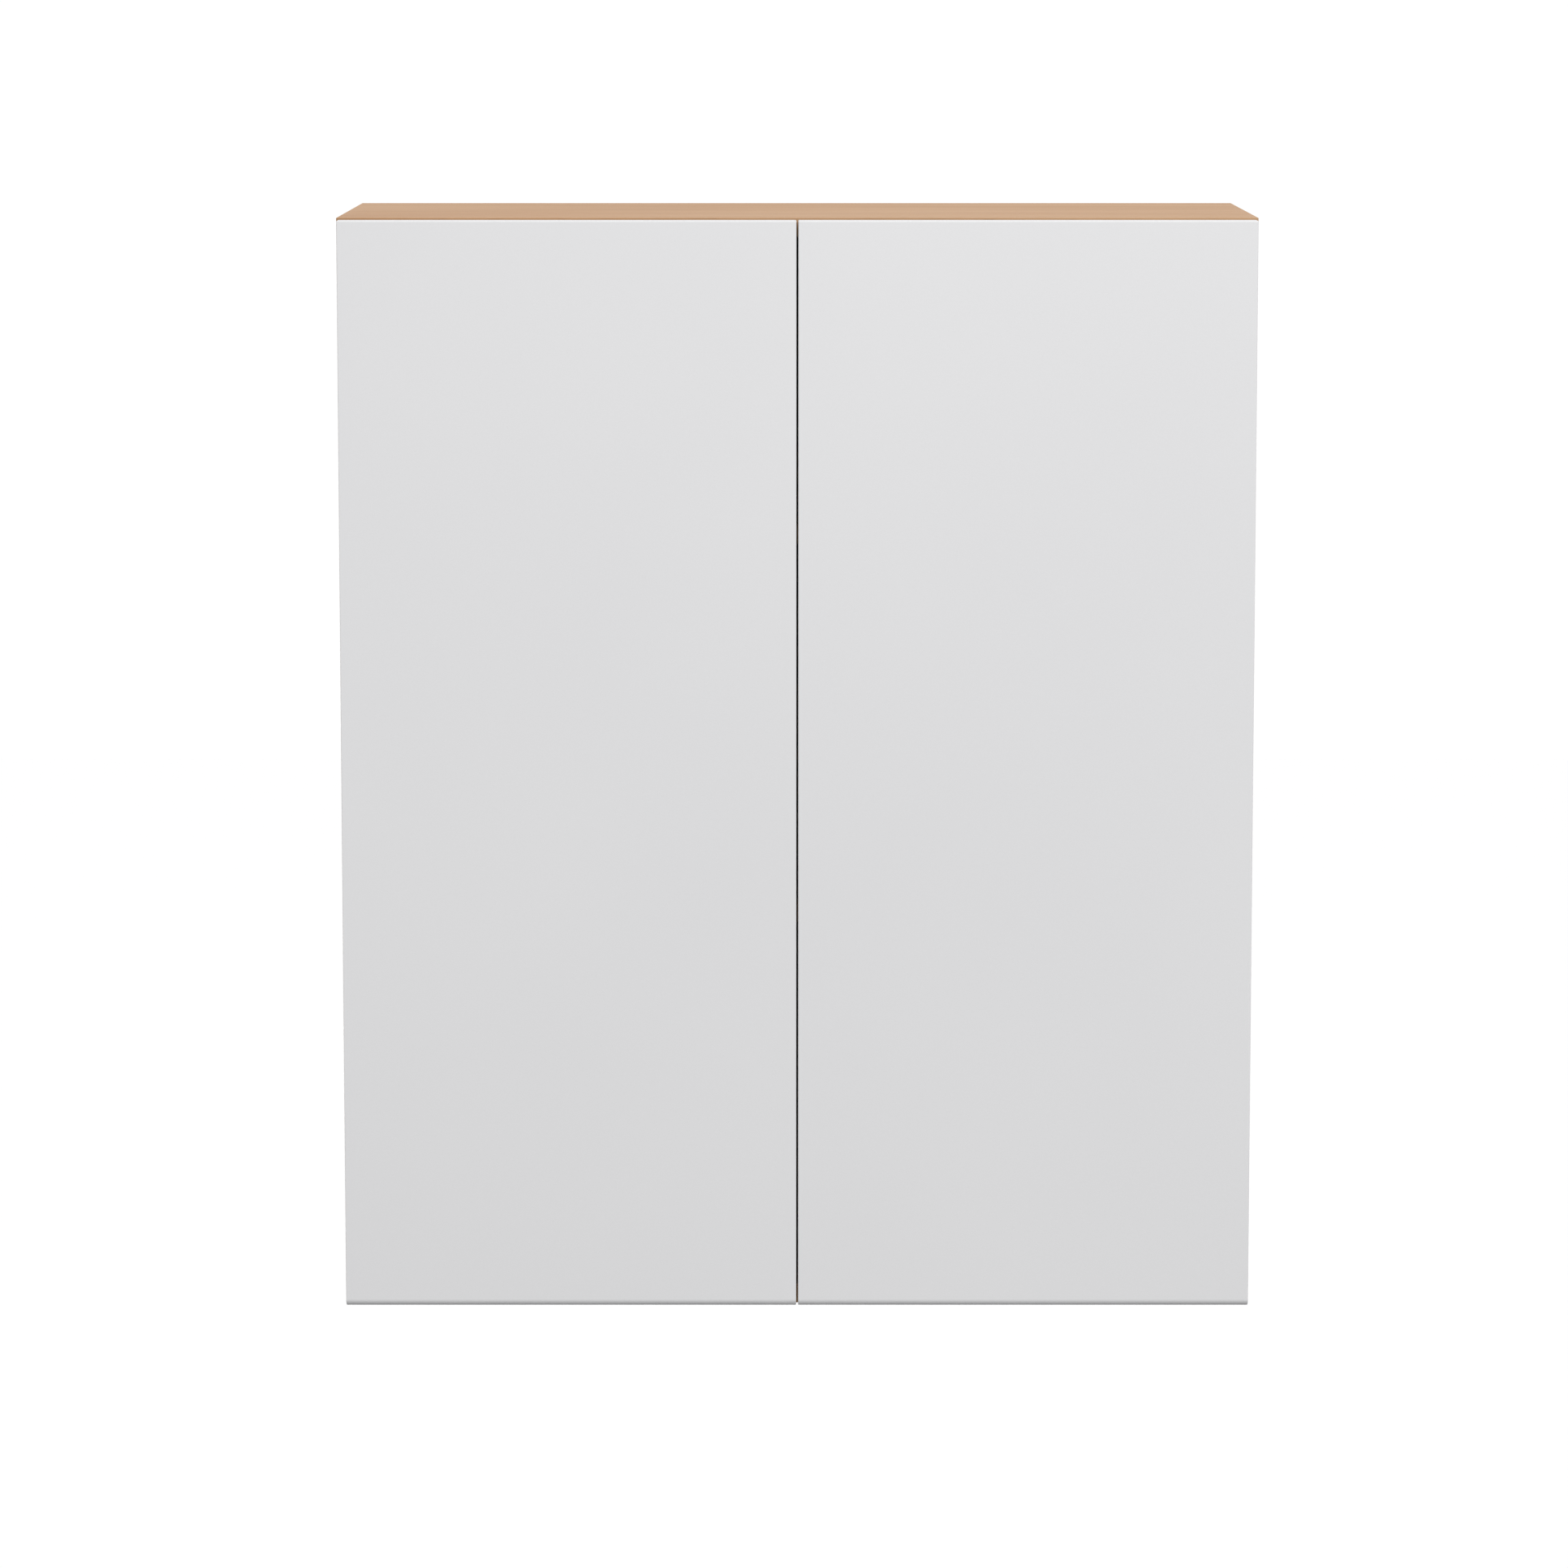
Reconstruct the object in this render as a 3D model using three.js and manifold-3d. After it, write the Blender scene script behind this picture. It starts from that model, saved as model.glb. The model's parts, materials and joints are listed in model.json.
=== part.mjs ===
// A hanging wall cabinet: a frameless box of veneered board with two full-overlay doors, two loose
// shelves, a back panel with hanging rails behind it, cam-locked corners and concealed cup hinges.
// Units are millimetres. X runs across the front from left to right, Y from the doors towards the
// wall, and Z is up. The origin is the middle of the upper hanging rail's rear face.

import * as THREE from 'three';
import { mergeVertices } from 'three/addons/utils/BufferGeometryUtils.js';
import Module from 'manifold-3d';

const wasm = await Module();
wasm.setup();

// ------------------------------------------------------------------ box
const boxWidth = 762;
const boxHeight = 914.4;
const boxDepth = 304.8;
const boardThickness = 15.9;
const backThickness = 6;
const backGrooveDepth = 6;
const backGrooveSlack = 0.2; // on each face of the back panel
const backEndClearance = 0.5; // between the back panel's edge and the groove's floor
const railHeight = 90;
const railThickness = 15.9;

// ------------------------------------------------------------------ shelves and their pins
const shelfThickness = 15.9;
const shelfEndClearance = 1;
const shelfBackClearance = 1;
const shelfSetback = 20; // behind the box's front edge
const holePitch = 32;
const holeRowMargin = 208; // from the inner faces of the top and bottom to a row's end
const frontRowSetback = 37; // behind the box's front edge
const rearRowClearance = 22; // in front of the back panel
const lowerShelfHole = 3; // counted from the bottom hole of a row
const upperShelfHoleFromTop = 1;
const pinRadius = 2.5;
const pinHoleFit = 0.1; // round the peg
const pinInset = 8; // how far the peg reaches into its hole
const pinHoleRoom = 1; // past the peg's end
const pinCollarOverhang = 1.7;
const pinCollarThickness = 1.4;
const pinCollarFacets = 12;
const pinTongueLength = 9;
const pinTongueWidth = 6;
const pinTongueThickness = 2;
const pinFacets = 8;

// ------------------------------------------------------------------ cam locks
const camRadius = 7.5;
const camPastBolt = 4.55; // how far a cam reaches past the middle of its board
const camDistance = 34; // from the side panel's end to the cam's centre
const camSetback = 60; // from the box's front edge and from the wall
const camFit = 0.1;
const camFacets = 16;
const boltFacets = 8;
const boltThreadRadius = 2.5;
const boltThreadLength = 11;
const boltThreadFit = 0.2; // round the thread, in the top and bottom panels
const boltEndRoom = 0.5; // past the thread's end
const boltSleeveRadius = 3.5;
const boltSleeveChamfer = 0.3;
const boltBoreFit = 0.5; // round the sleeve, in the side panels
const boltNeckRadius = 1.5;
const boltNeckReach = 2; // of the neck outside its cam
const boltHeadRadius = 3;
const boltHeadLength = 3;
const camBoltPlay = 0.6; // round a bolt's neck and head inside its cam
const camDriveWidth = 1.6;
const camDriveLength = 9;
const camDriveDepth = 1.8;

// ------------------------------------------------------------------ doors
const doorThickness = 19;
const doorGap = 2; // between the box's front edge and a door's back
const doorReveal = 1.6; // of the box's edge outside a closed door
const centreGap = 1.6;
const doorEdgeRadius = 1;
const lipRadius = 6; // the rounded lower front edge
const lipThickness = 8;
const lipBackRadius = 1.5;
const fingerGrooveHeight = 20;
const fingerGrooveCove = 6;
const doorCurveSegments = 6;
const bumperRadius = 4;
const bumperFacets = 16;
const bumperClearance = 0.2;
const bumperInset = 22; // from the door's free edge

// ------------------------------------------------------------------ hinges
// A hinge's own frame: X away from the side panel's inner face, Y back from the box's front edge,
// Z up from the hinge's middle. The four pivots are places in the X-Y plane with the door closed.
const hingeFromDoorEnd = 100;
const cupX = 8.2; // from the side panel's inner face to the cup's centre
const cupRadius = 17.5;
const cupDepth = 12;
const cupFit = 0.15;
const cupWall = 1;
const cupFacets = 28;
const cupRimOverhang = 1.1;
const cupRimThickness = 0.5;
const cupEarOffset = 9.5; // of the two screws, away from the door's edge
const cupScrewSpacing = 45;
const cupEarWidth = 13;
const cupEarLength = 60;
const cupEarThickness = 1.2;
const screwHoleRadius = 2.2; // in the cup's ears and in the plate's wings
const outerArmPivotInset = 4.2; // from the far wall of the cup's bore
const outerArmPivotHeight = 5.7; // behind the box's front edge
const outerCupPivotInset = 8.7; // from the near wall of the cup's bore
const outerCupPivotDepth = 1.4; // below the cup's mouth
const innerCupPivotInset = 13.5; // from the near wall of the cup's bore
const openEyeDrop = 1.4; // of the inner link's open eye, below the cup's inner pin
const openEyeClearance = 0.55; // between that eye's ring and the cup's floor
const linkEndClearance = 0.23; // between the inner link's arm end and the cup's far wall
const linkFloorClearance = 0.15; // between that end and the cup's floor
const hingePinRadius = 1.1;
const pinClearance = 0.2;
const openPivotPlay = 1.4;
const openEyeFacets = 14;
const linkWall = 1.2; // of metal round a link's eye
const linkSideClearance = 0.3; // between a link and the lugs beside it
const outerLinkHalfWidth = 3.5;
const outerLinkElbowOffset = [8.1, -0.2]; // from its cup pivot: a bend that clears the open cup's rim
const lugThickness = 1.4;
const cheekThickness = 1.8; // of the inner link's two cheeks
const rivetEnd = 0.4; // of the arm's pin outside the cheeks
const spacerRadius = 0.9; // of the bar that joins the inner link's cheeks
const spacerLap = 0.2; // of that bar into each cheek
const cupPinSetback = 0.1; // of the cup's inner pins from the cheeks' inner faces
const cupLugWall = 0.8; // of the cup's own lugs, round the pin of the outer link
const plateHalfWidth = 6.6;
const plateHeight = 5;
const plateFront = 21;
const plateRear = 62;
const plateWingWidth = 12;
const plateWingHeight = 2;
const plateWingLength = 48;
const plateWingSegments = 8;
const plateScrewSpacing = 32;
const armWall = 1.5;
const armHeight = 13; // from the side panel to the arm's back
const armFront = 18;
const armSideClearance = 0.3; // between the channel and the plate in it
const armEndClearance = 0.5;
const armFootClearance = 0.6; // above the plate's wings
const noseLap = 6; // of the nose behind the channel's front edge
const noseClearance = 0.6; // above the mounting plate
const noseBend = 4; // where the nose's lower edge turns, behind its inner pivot

// ------------------------------------------------------------------ derived places
const innerFaceX = boxWidth / 2 - boardThickness;
const frontY = -boxDepth;
const backFaceY = -railThickness - backThickness; // the back panel's front face
const doorBackY = frontY - doorGap;
const doorFrontY = doorBackY - doorThickness;
const doorWidth = (boxWidth - 2 * doorReveal - centreGap) / 2;
const doorHeight = boxHeight - 2 * doorReveal;
const doorBottomZ = doorReveal;
const topInnerZ = boxHeight - boardThickness;
const holesInRow = 1 + Math.floor((boxHeight - 2 * boardThickness - 2 * holeRowMargin) / holePitch);
const holeRowsY = [frontY + frontRowSetback, backFaceY - rearRowClearance];
const camRowsY = [frontY + camSetback, -camSetback];
const originZ = topInnerZ - railHeight / 2;
const camLength = boardThickness / 2 + camPastBolt;
const overcut = 1; // how far a cutting tool passes the face that it opens

const mouthY = -doorGap; // the cup's mouth, level with the door's back
const cupFloorY = mouthY - cupDepth + cupFit + cupWall;
const cupHollowRadius = cupRadius - cupFit - cupWall;
const lugInner = outerLinkHalfWidth + linkSideClearance;
const lugOuter = lugInner + lugThickness;
const cheekInner = lugOuter + linkSideClearance;
const cheekOuter = cheekInner + cheekThickness;
const eyeRadius = hingePinRadius + pinClearance;
const openEyeRadius = eyeRadius + openPivotPlay;
const linkEndRadius = eyeRadius + linkWall;
const cheekReach = Math.sqrt(cupHollowRadius ** 2 - cheekOuter ** 2); // to the cup's wall
const outerPivotOnArm = [cupX + cupRadius - outerArmPivotInset, outerArmPivotHeight];
const innerPivotOnArm = [
  cupX + cheekReach - linkEndRadius - linkEndClearance,
  cupFloorY + linkEndRadius + linkFloorClearance,
];
const outerPivotInCup = [cupX - cupRadius + outerCupPivotInset, mouthY - outerCupPivotDepth];
const innerLinkEye = [
  cupX - cupRadius + innerCupPivotInset,
  cupFloorY + openEyeRadius + linkWall + openEyeClearance,
];
const innerPivotInCup = [innerLinkEye[0], innerLinkEye[1] + openEyeDrop];
const outerLinkElbow = outerPivotInCup.map((place, axis) => place + outerLinkElbowOffset[axis]);
const armHalfWidth = plateHalfWidth + armSideClearance + armWall;
const armFoot = plateWingHeight + armFootClearance;
const armRear = plateRear + armEndClearance + armWall;

const holeZ = (index) => boardThickness + holeRowMargin + index * holePitch;

// ------------------------------------------------------------------ finishes
const finish = (color, roughness, metalness) => () =>
  new THREE.MeshStandardMaterial({ color, roughness, metalness });
const veneer = finish(0xd0a885, 0.55, 0);
const paint = finish(0xdfdfe1, 0.5, 0);
const nickel = finish(0xc4c2bd, 0.3, 1);
const zinc = finish(0x9d9fa1, 0.45, 1);
const clearRubber = finish(0xd6d8d8, 0.4, 0);

// ------------------------------------------------------------------ tools for solids
const mergeTolerance = 1e-4;
const quarterTurn = Math.PI / 2;
const ascending = (...values) => values.sort((a, b) => a - b);

/** A closed three.js geometry as a solid, its shared corners merged. */
function solid(geometry) {
  const bare = geometry.clone();
  bare.deleteAttribute('normal');
  bare.deleteAttribute('uv');
  const merged = mergeVertices(bare, mergeTolerance);
  const vertProperties = merged.attributes.position.array;
  const triVerts = new Uint32Array(merged.index.array);
  return new wasm.Manifold(new wasm.Mesh({ numProp: 3, vertProperties, triVerts }));
}

/** The surface of a solid as a three.js geometry. */
function surface(body) {
  const { vertProperties, triVerts } = body.getMesh();
  const geometry = new THREE.BufferGeometry();
  geometry.setAttribute('position', new THREE.BufferAttribute(vertProperties, 3));
  geometry.setIndex(new THREE.BufferAttribute(triVerts, 1));
  return geometry.toNonIndexed();
}

/** A block between two limits on each axis. */
function block([x0, x1], [y0, y1], [z0, z1]) {
  const geometry = new THREE.BoxGeometry(x1 - x0, y1 - y0, z1 - z0);
  return solid(geometry.translate((x0 + x1) / 2, (y0 + y1) / 2, (z0 + z1) / 2));
}

/** A round bar from one point to another. */
function bar(radius, start, end, facets = 10) {
  const from = new THREE.Vector3(...start);
  const along = new THREE.Vector3(...end).sub(from);
  const geometry = new THREE.CylinderGeometry(radius, radius, along.length(), facets);
  geometry.translate(0, along.length() / 2, 0);
  const turn = new THREE.Quaternion();
  turn.setFromUnitVectors(new THREE.Vector3(0, 1, 0), along.clone().normalize());
  return solid(geometry.applyQuaternion(turn).translate(from.x, from.y, from.z));
}

/** An outline carried straight from one place to another, its own three axes turned to these. */
function carried(outline, from, to, curveSegments, axes) {
  const settings = { depth: to - from, bevelEnabled: false, curveSegments };
  const geometry = new THREE.ExtrudeGeometry(outline, settings).translate(0, 0, from);
  const directions = axes.map((axis) => new THREE.Vector3(...axis));
  return solid(geometry.applyMatrix4(new THREE.Matrix4().makeBasis(...directions)));
}

/** An outline in the X-Y plane, carried along Z. */
function slabAlongZ(outline, z0, z1, curveSegments = 5) {
  return carried(outline, z0, z1, curveSegments, [[1, 0, 0], [0, 1, 0], [0, 0, 1]]);
}

/** An outline whose own axes are X and -Z, carried along Y. */
function slabAlongY(outline, y0, y1, curveSegments = 5) {
  return carried(outline, y0, y1, curveSegments, [[1, 0, 0], [0, 0, -1], [0, 1, 0]]);
}

/** An outline in the Y-Z plane, carried along X. */
function slabAlongX(outline, x0, x1, curveSegments = 5) {
  return carried(outline, x0, x1, curveSegments, [[0, 1, 0], [0, 0, 1], [1, 0, 0]]);
}

/** The outline round two circles of one radius: a straight bar with round ends. */
function stadium([ax, ay], [bx, by], radius) {
  const heading = Math.atan2(by - ay, bx - ax);
  const outline = new THREE.Shape();
  outline.absarc(bx, by, radius, heading - quarterTurn, heading + quarterTurn, false);
  outline.absarc(ax, ay, radius, heading + quarterTurn, heading + 3 * quarterTurn, false);
  return outline;
}

function cut(body, ...tools) {
  return tools.reduce((rest, tool) => rest.subtract(tool), body);
}

function join(...bodies) {
  return bodies.reduce((whole, body) => whole.add(body));
}

function addPart(parent, name, body, material) {
  const mesh = new THREE.Mesh(surface(body), material());
  mesh.name = name;
  parent.add(mesh);
}

// ------------------------------------------------------------------ the cabinet
const cabinet = new THREE.Group();
const box = new THREE.Group(); // measured from the wall plane and the box's underside
box.position.z = -originZ;
cabinet.add(box);

const sides = [
  { side: 'left', sign: -1 },
  { side: 'right', sign: 1 },
];
const ranges = (sign, near, far) => ascending(sign * near, sign * far);

// ------------------------------------------------------------------ box panels
const backGrooveY = [backFaceY - backGrooveSlack, -railThickness + backGrooveSlack];

// A cam's centre, and which way along Z its bolt leaves it.
const camPlaces = camRowsY.flatMap((y, row) => [
  { y, z: topInnerZ - camDistance, away: 1, place: row ? 'upper_rear' : 'upper_front' },
  { y, z: boardThickness + camDistance, away: -1, place: row ? 'lower_rear' : 'lower_front' },
]);

/** A board with holes for shelf pins, cam locks and their bolts, and a groove for the back panel. */
function sidePanel(sign) {
  const face = sign * innerFaceX;
  const into = (depth) => face + sign * depth;
  const bore = (radius, depth, y, z, facets) =>
    bar(radius, [into(-overcut), y, z], [into(depth), y, z], facets);
  const grooveX = ranges(sign, innerFaceX - overcut, innerFaceX + backGrooveDepth);
  const tools = [block(grooveX, backGrooveY, [0, boxHeight])];
  for (const y of holeRowsY) {
    for (let index = 0; index < holesInRow; index += 1) {
      tools.push(bore(pinRadius + pinHoleFit, pinInset + pinHoleRoom, y, holeZ(index), pinFacets));
    }
  }
  for (const { y, z, away } of camPlaces) {
    tools.push(bore(camRadius + camFit, camLength + camFit, y, z, camFacets));
    const x = into(boardThickness / 2);
    const end = [x, y, z + away * (camDistance + overcut)];
    tools.push(bar(boltSleeveRadius + boltBoreFit, [x, y, z], end, boltFacets));
  }
  const panel = block(
    ranges(sign, innerFaceX, boxWidth / 2),
    [frontY, 0],
    [boardThickness, topInnerZ],
  );
  return cut(panel, ...tools);
}

/** The top or bottom panel, which runs over the ends of both side panels. */
function endPanel(away) {
  const inner = away > 0 ? topInnerZ : boardThickness;
  const outer = away > 0 ? boxHeight : 0;
  const panel = block([-boxWidth / 2, boxWidth / 2], [frontY, 0], ascending(inner, outer));
  const mouth = inner - away * overcut;
  const reach = innerFaceX + backGrooveDepth;
  const grooveZ = ascending(mouth, inner + away * backGrooveDepth);
  const tools = [block([-reach, reach], backGrooveY, grooveZ)];
  for (const { sign } of sides) {
    for (const y of camRowsY) {
      const x = sign * (innerFaceX + boardThickness / 2);
      const end = inner + away * (boltThreadLength + boltEndRoom);
      tools.push(bar(boltThreadRadius + boltThreadFit, [x, y, mouth], [x, y, end], boltFacets));
    }
  }
  return cut(panel, ...tools);
}

for (const { side, sign } of sides) {
  addPart(box, `side_panel_${side}`, sidePanel(sign), veneer);
}
addPart(box, 'top_panel', endPanel(1), veneer);
addPart(box, 'bottom_panel', endPanel(-1), veneer);

const backReach = backGrooveDepth - backEndClearance;
const backPanel = block(
  [-innerFaceX - backReach, innerFaceX + backReach],
  [backFaceY, -railThickness],
  [boardThickness - backReach, topInnerZ + backReach],
);
addPart(box, 'back_panel', backPanel, veneer);

const rails = [
  { name: 'hanging_rail_upper', z: [topInnerZ - railHeight, topInnerZ] },
  { name: 'hanging_rail_lower', z: [boardThickness, boardThickness + railHeight] },
];
for (const { name, z } of rails) {
  addPart(box, name, block([-innerFaceX, innerFaceX], [-railThickness, 0], z), veneer);
}

// ------------------------------------------------------------------ cam locks
/** A bolt along Z, its thread in the top or bottom panel and its head in the cam's chamber. */
function camBolt(away) {
  const neckStart = -(camDistance - camRadius - boltNeckReach);
  const headStart = -(camDistance - boltHeadLength / 2);
  const profile = [
    [0, boltThreadLength],
    [boltThreadRadius, boltThreadLength],
    [boltThreadRadius, 0],
    [boltSleeveRadius, -boltSleeveChamfer],
    [boltSleeveRadius, neckStart],
    [boltNeckRadius, neckStart],
    [boltNeckRadius, headStart],
    [boltHeadRadius, headStart],
    [boltHeadRadius, headStart - boltHeadLength],
    [0, headStart - boltHeadLength],
  ].map(([r, h]) => new THREE.Vector2(r, h));
  const geometry = new THREE.LatheGeometry(profile.reverse(), boltFacets);
  return solid(geometry.rotateX(away * quarterTurn));
}

/** A cam along X, closed towards the panel's outside, with a cross drive in its open face. */
function camLock(sign, away) {
  const middle = sign * (boardThickness / 2);
  const body = bar(camRadius, [0, 0, 0], [sign * camLength, 0, 0], camFacets);
  const throatEnd = away * (camRadius + overcut);
  const throatRadius = boltNeckRadius + camBoltPlay;
  const throat = bar(throatRadius, [middle, 0, 0], [middle, 0, throatEnd], boltFacets);
  const chamber = bar(
    boltHeadRadius + camBoltPlay,
    [middle, 0, -away * boltHeadLength],
    [middle, 0, away * boltHeadLength],
    boltFacets,
  );
  const half = camDriveWidth / 2;
  const reach = camDriveLength / 2;
  const drive = ascending(-sign * overcut, sign * camDriveDepth);
  return cut(
    body,
    throat,
    chamber,
    block(drive, [-half, half], [-reach, reach]),
    block(drive, [-reach, reach], [-half, half]),
  );
}

for (const { side, sign } of sides) {
  for (const { y, z, away, place } of camPlaces) {
    const fitting = new THREE.Group();
    fitting.position.set(sign * innerFaceX, y, z);
    box.add(fitting);
    addPart(fitting, `cam_lock_${side}_${place}`, camLock(sign, away), zinc);
    const bolt = new THREE.Group();
    bolt.position.set((sign * boardThickness) / 2, 0, away * camDistance);
    fitting.add(bolt);
    addPart(bolt, `cam_bolt_${side}_${place}`, camBolt(away), zinc);
  }
}

// ------------------------------------------------------------------ shelves
const shelfPlaces = [
  { name: 'lower', z: holeZ(lowerShelfHole) },
  { name: 'upper', z: holeZ(holesInRow - 1 - upperShelfHoleFromTop) },
];

/** A peg in the side panel with a collar against it and a flat tongue under the shelf. */
function shelfPin(sign) {
  const collarEnd = -sign * pinCollarThickness;
  const tongueEnd = collarEnd - sign * pinTongueLength;
  const collarRadius = pinRadius + pinCollarOverhang;
  const peg = bar(pinRadius, [sign * pinInset, 0, 0], [collarEnd / 2, 0, 0], pinFacets);
  const collar = bar(collarRadius, [0, 0, 0], [collarEnd, 0, 0], pinCollarFacets);
  const tongue = block(
    ascending(0, tongueEnd),
    [-pinTongueWidth / 2, pinTongueWidth / 2],
    [pinRadius - pinTongueThickness, pinRadius],
  );
  const around = [-collarRadius - overcut, collarRadius + overcut];
  const aboveSeat = block(around, around, [pinRadius, collarRadius + overcut]);
  return cut(join(peg, collar, tongue), aboveSeat);
}

for (const { name, z } of shelfPlaces) {
  const seat = z + pinRadius;
  const reach = innerFaceX - shelfEndClearance;
  const shelf = block(
    [-reach, reach],
    [frontY + shelfSetback, backFaceY - shelfBackClearance],
    [seat, seat + shelfThickness],
  );
  addPart(box, `shelf_${name}`, shelf, veneer);
  for (const { side, sign } of sides) {
    for (const [row, y] of holeRowsY.entries()) {
      const pin = new THREE.Group();
      pin.position.set(sign * innerFaceX, y, z);
      box.add(pin);
      const place = row ? 'rear' : 'front';
      addPart(pin, `shelf_pin_${name}_${side}_${place}`, shelfPin(sign), nickel);
    }
  }
}

// ------------------------------------------------------------------ doors
const hingeLevels = [
  { level: 'lower', z: doorBottomZ + hingeFromDoorEnd },
  { level: 'upper', z: doorBottomZ + doorHeight - hingeFromDoorEnd },
];

/** A door's upright section in the Y-Z plane, measured from its front face and its lower edge. */
function doorSection() {
  const edge = doorEdgeRadius;
  const section = new THREE.Shape();
  section.moveTo(lipRadius, 0);
  const lipCentre = lipThickness - lipBackRadius;
  section.absarc(lipCentre, lipBackRadius, lipBackRadius, -quarterTurn, 0, false);
  const coveZ = fingerGrooveHeight - fingerGrooveCove;
  section.absarc(lipThickness + fingerGrooveCove, coveZ, fingerGrooveCove, Math.PI, quarterTurn, true);
  section.lineTo(doorThickness, fingerGrooveHeight);
  section.absarc(doorThickness - edge, doorHeight - edge, edge, 0, quarterTurn, false);
  section.absarc(edge, doorHeight - edge, edge, quarterTurn, Math.PI, false);
  section.absarc(lipRadius, lipRadius, lipRadius, Math.PI, 3 * quarterTurn, false);
  return section;
}

/** A door between two limits on X, with the finger groove and a blind bore for each hinge cup. */
function door(sign) {
  const [x0, x1] = ranges(sign, centreGap / 2, centreGap / 2 + doorWidth);
  const board = slabAlongX(doorSection(), x0, x1, doorCurveSegments);
  const bores = hingeLevels.map(({ z }) => {
    const x = sign * (innerFaceX - cupX);
    return bar(cupRadius, [x, doorBackY - cupDepth, z], [x, doorBackY + overcut, z], cupFacets);
  });
  return cut(board.translate([0, doorFrontY, doorBottomZ]), ...bores);
}

for (const { side, sign } of sides) {
  addPart(box, `door_${side}`, door(sign), paint);
  const x = sign * (centreGap / 2 + bumperInset);
  const z = boxHeight - boardThickness / 2;
  const face = frontY - bumperClearance;
  const bumper = bar(bumperRadius, [x, doorBackY, z], [x, face, z], bumperFacets);
  addPart(box, `door_bumper_${side}`, bumper, clearRubber);
}

// ------------------------------------------------------------------ hinges
const alongZ = (radius, [x, y], z0, z1, facets = 10) => bar(radius, [x, y, z0], [x, y, z1], facets);

/** Two mirrored copies of what a function makes between two heights above the middle. */
function mirrored(make, z0, z1) {
  return join(make(z0, z1), make(-z1, -z0));
}

/** The round cup with its rim, its two screw ears and the two pins that the links turn on. */
function hingeCup() {
  const floor = mouthY - cupDepth + cupFit;
  const disc = (radius, y0, y1) => bar(radius, [cupX, y0, 0], [cupX, y1, 0], cupFacets);
  const shell = disc(cupRadius - cupFit, floor, mouthY);
  const rim = disc(cupRadius + cupRimOverhang, mouthY, mouthY + cupRimThickness);
  const earX = cupX + cupEarOffset;
  const ends = cupEarLength / 2 - cupEarWidth / 2;
  const earOutline = stadium([earX, -ends], [earX, ends], cupEarWidth / 2);
  const ears = slabAlongY(earOutline, mouthY, mouthY + cupEarThickness);
  const above = mouthY + cupEarThickness + overcut;
  const hollow = disc(cupHollowRadius, cupFloorY, above);
  const screws = [-1, 1].map((up) => {
    const z = (up * cupScrewSpacing) / 2;
    return bar(screwHoleRadius, [earX, mouthY - overcut, z], [earX, above, z]);
  });
  const [lugX, lugY] = outerPivotInCup;
  const lugOutline = stadium([lugX, lugY], [cupX - cupHollowRadius, lugY], hingePinRadius + cupLugWall);
  const lugPair = mirrored((z0, z1) => slabAlongZ(lugOutline, z0, z1), lugInner, lugOuter);
  const lugs = lugPair.intersect(shell);
  const outerPin = alongZ(hingePinRadius, outerPivotInCup, -lugOuter, lugOuter);
  const innerPinEnd = Math.sqrt(cupHollowRadius ** 2 - (innerPivotInCup[0] - cupX) ** 2) + cupWall / 2;
  const innerPins = mirrored(
    (z0, z1) => alongZ(hingePinRadius, innerPivotInCup, z0, z1),
    cheekInner + cupPinSetback,
    innerPinEnd,
  );
  return join(cut(join(shell, rim, ears), hollow, ...screws), lugs, outerPin, innerPins);
}

/** The plate that screws to the side panel: a raised body across two wings. */
function mountingPlate() {
  const body = block([0, plateHeight], [plateFront, plateRear], [-plateHalfWidth, plateHalfWidth]);
  const ends = plateWingLength / 2 - plateWingWidth / 2;
  const outline = stadium([frontRowSetback, -ends], [frontRowSetback, ends], plateWingWidth / 2);
  const wings = slabAlongX(outline, 0, plateWingHeight, plateWingSegments);
  const screws = [-1, 1].map((up) => {
    const z = (up * plateScrewSpacing) / 2;
    const above = plateWingHeight + overcut;
    return bar(screwHoleRadius, [-overcut, frontRowSetback, z], [above, frontRowSetback, z]);
  });
  return cut(join(body, wings), ...screws);
}

/** The arm: a channel clipped over the plate, and a nose of two lugs that carries the links. */
function hingeArm() {
  const channel = cut(
    block([armFoot, armHeight], [armFront, armRear], [-armHalfWidth, armHalfWidth]),
    block(
      [armFoot - overcut, armHeight - armWall],
      [armFront - overcut, armRear - armWall],
      [-armHalfWidth + armWall, armHalfWidth - armWall],
    ),
  );
  const lugRadius = hingePinRadius + linkWall;
  const noseFoot = plateHeight + noseClearance;
  const nose = new THREE.Shape();
  const [px, py] = outerPivotOnArm;
  const [qx, qy] = innerPivotOnArm;
  nose.moveTo(noseFoot, armFront + noseLap);
  nose.lineTo(noseFoot, armFront);
  nose.lineTo(qx - lugRadius, qy + noseBend);
  nose.absarc(qx, qy, lugRadius, Math.PI, 2 * Math.PI, false);
  nose.absarc(px, py, lugRadius, 0, quarterTurn, false);
  nose.lineTo(armHeight, armFront + noseLap);
  const lugs = mirrored((z0, z1) => slabAlongZ(nose, z0, z1), lugInner, lugOuter);
  const bridge = block([noseFoot, armHeight], [armFront, armFront + noseLap], [-lugOuter, lugOuter]);
  const outerPin = alongZ(hingePinRadius, outerPivotOnArm, -lugOuter, lugOuter);
  const innerPins = mirrored(
    (z0, z1) => alongZ(hingePinRadius, innerPivotOnArm, z0, z1),
    lugInner,
    cheekOuter + rivetEnd,
  );
  return join(channel, lugs, bridge, outerPin, innerPins);
}

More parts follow.
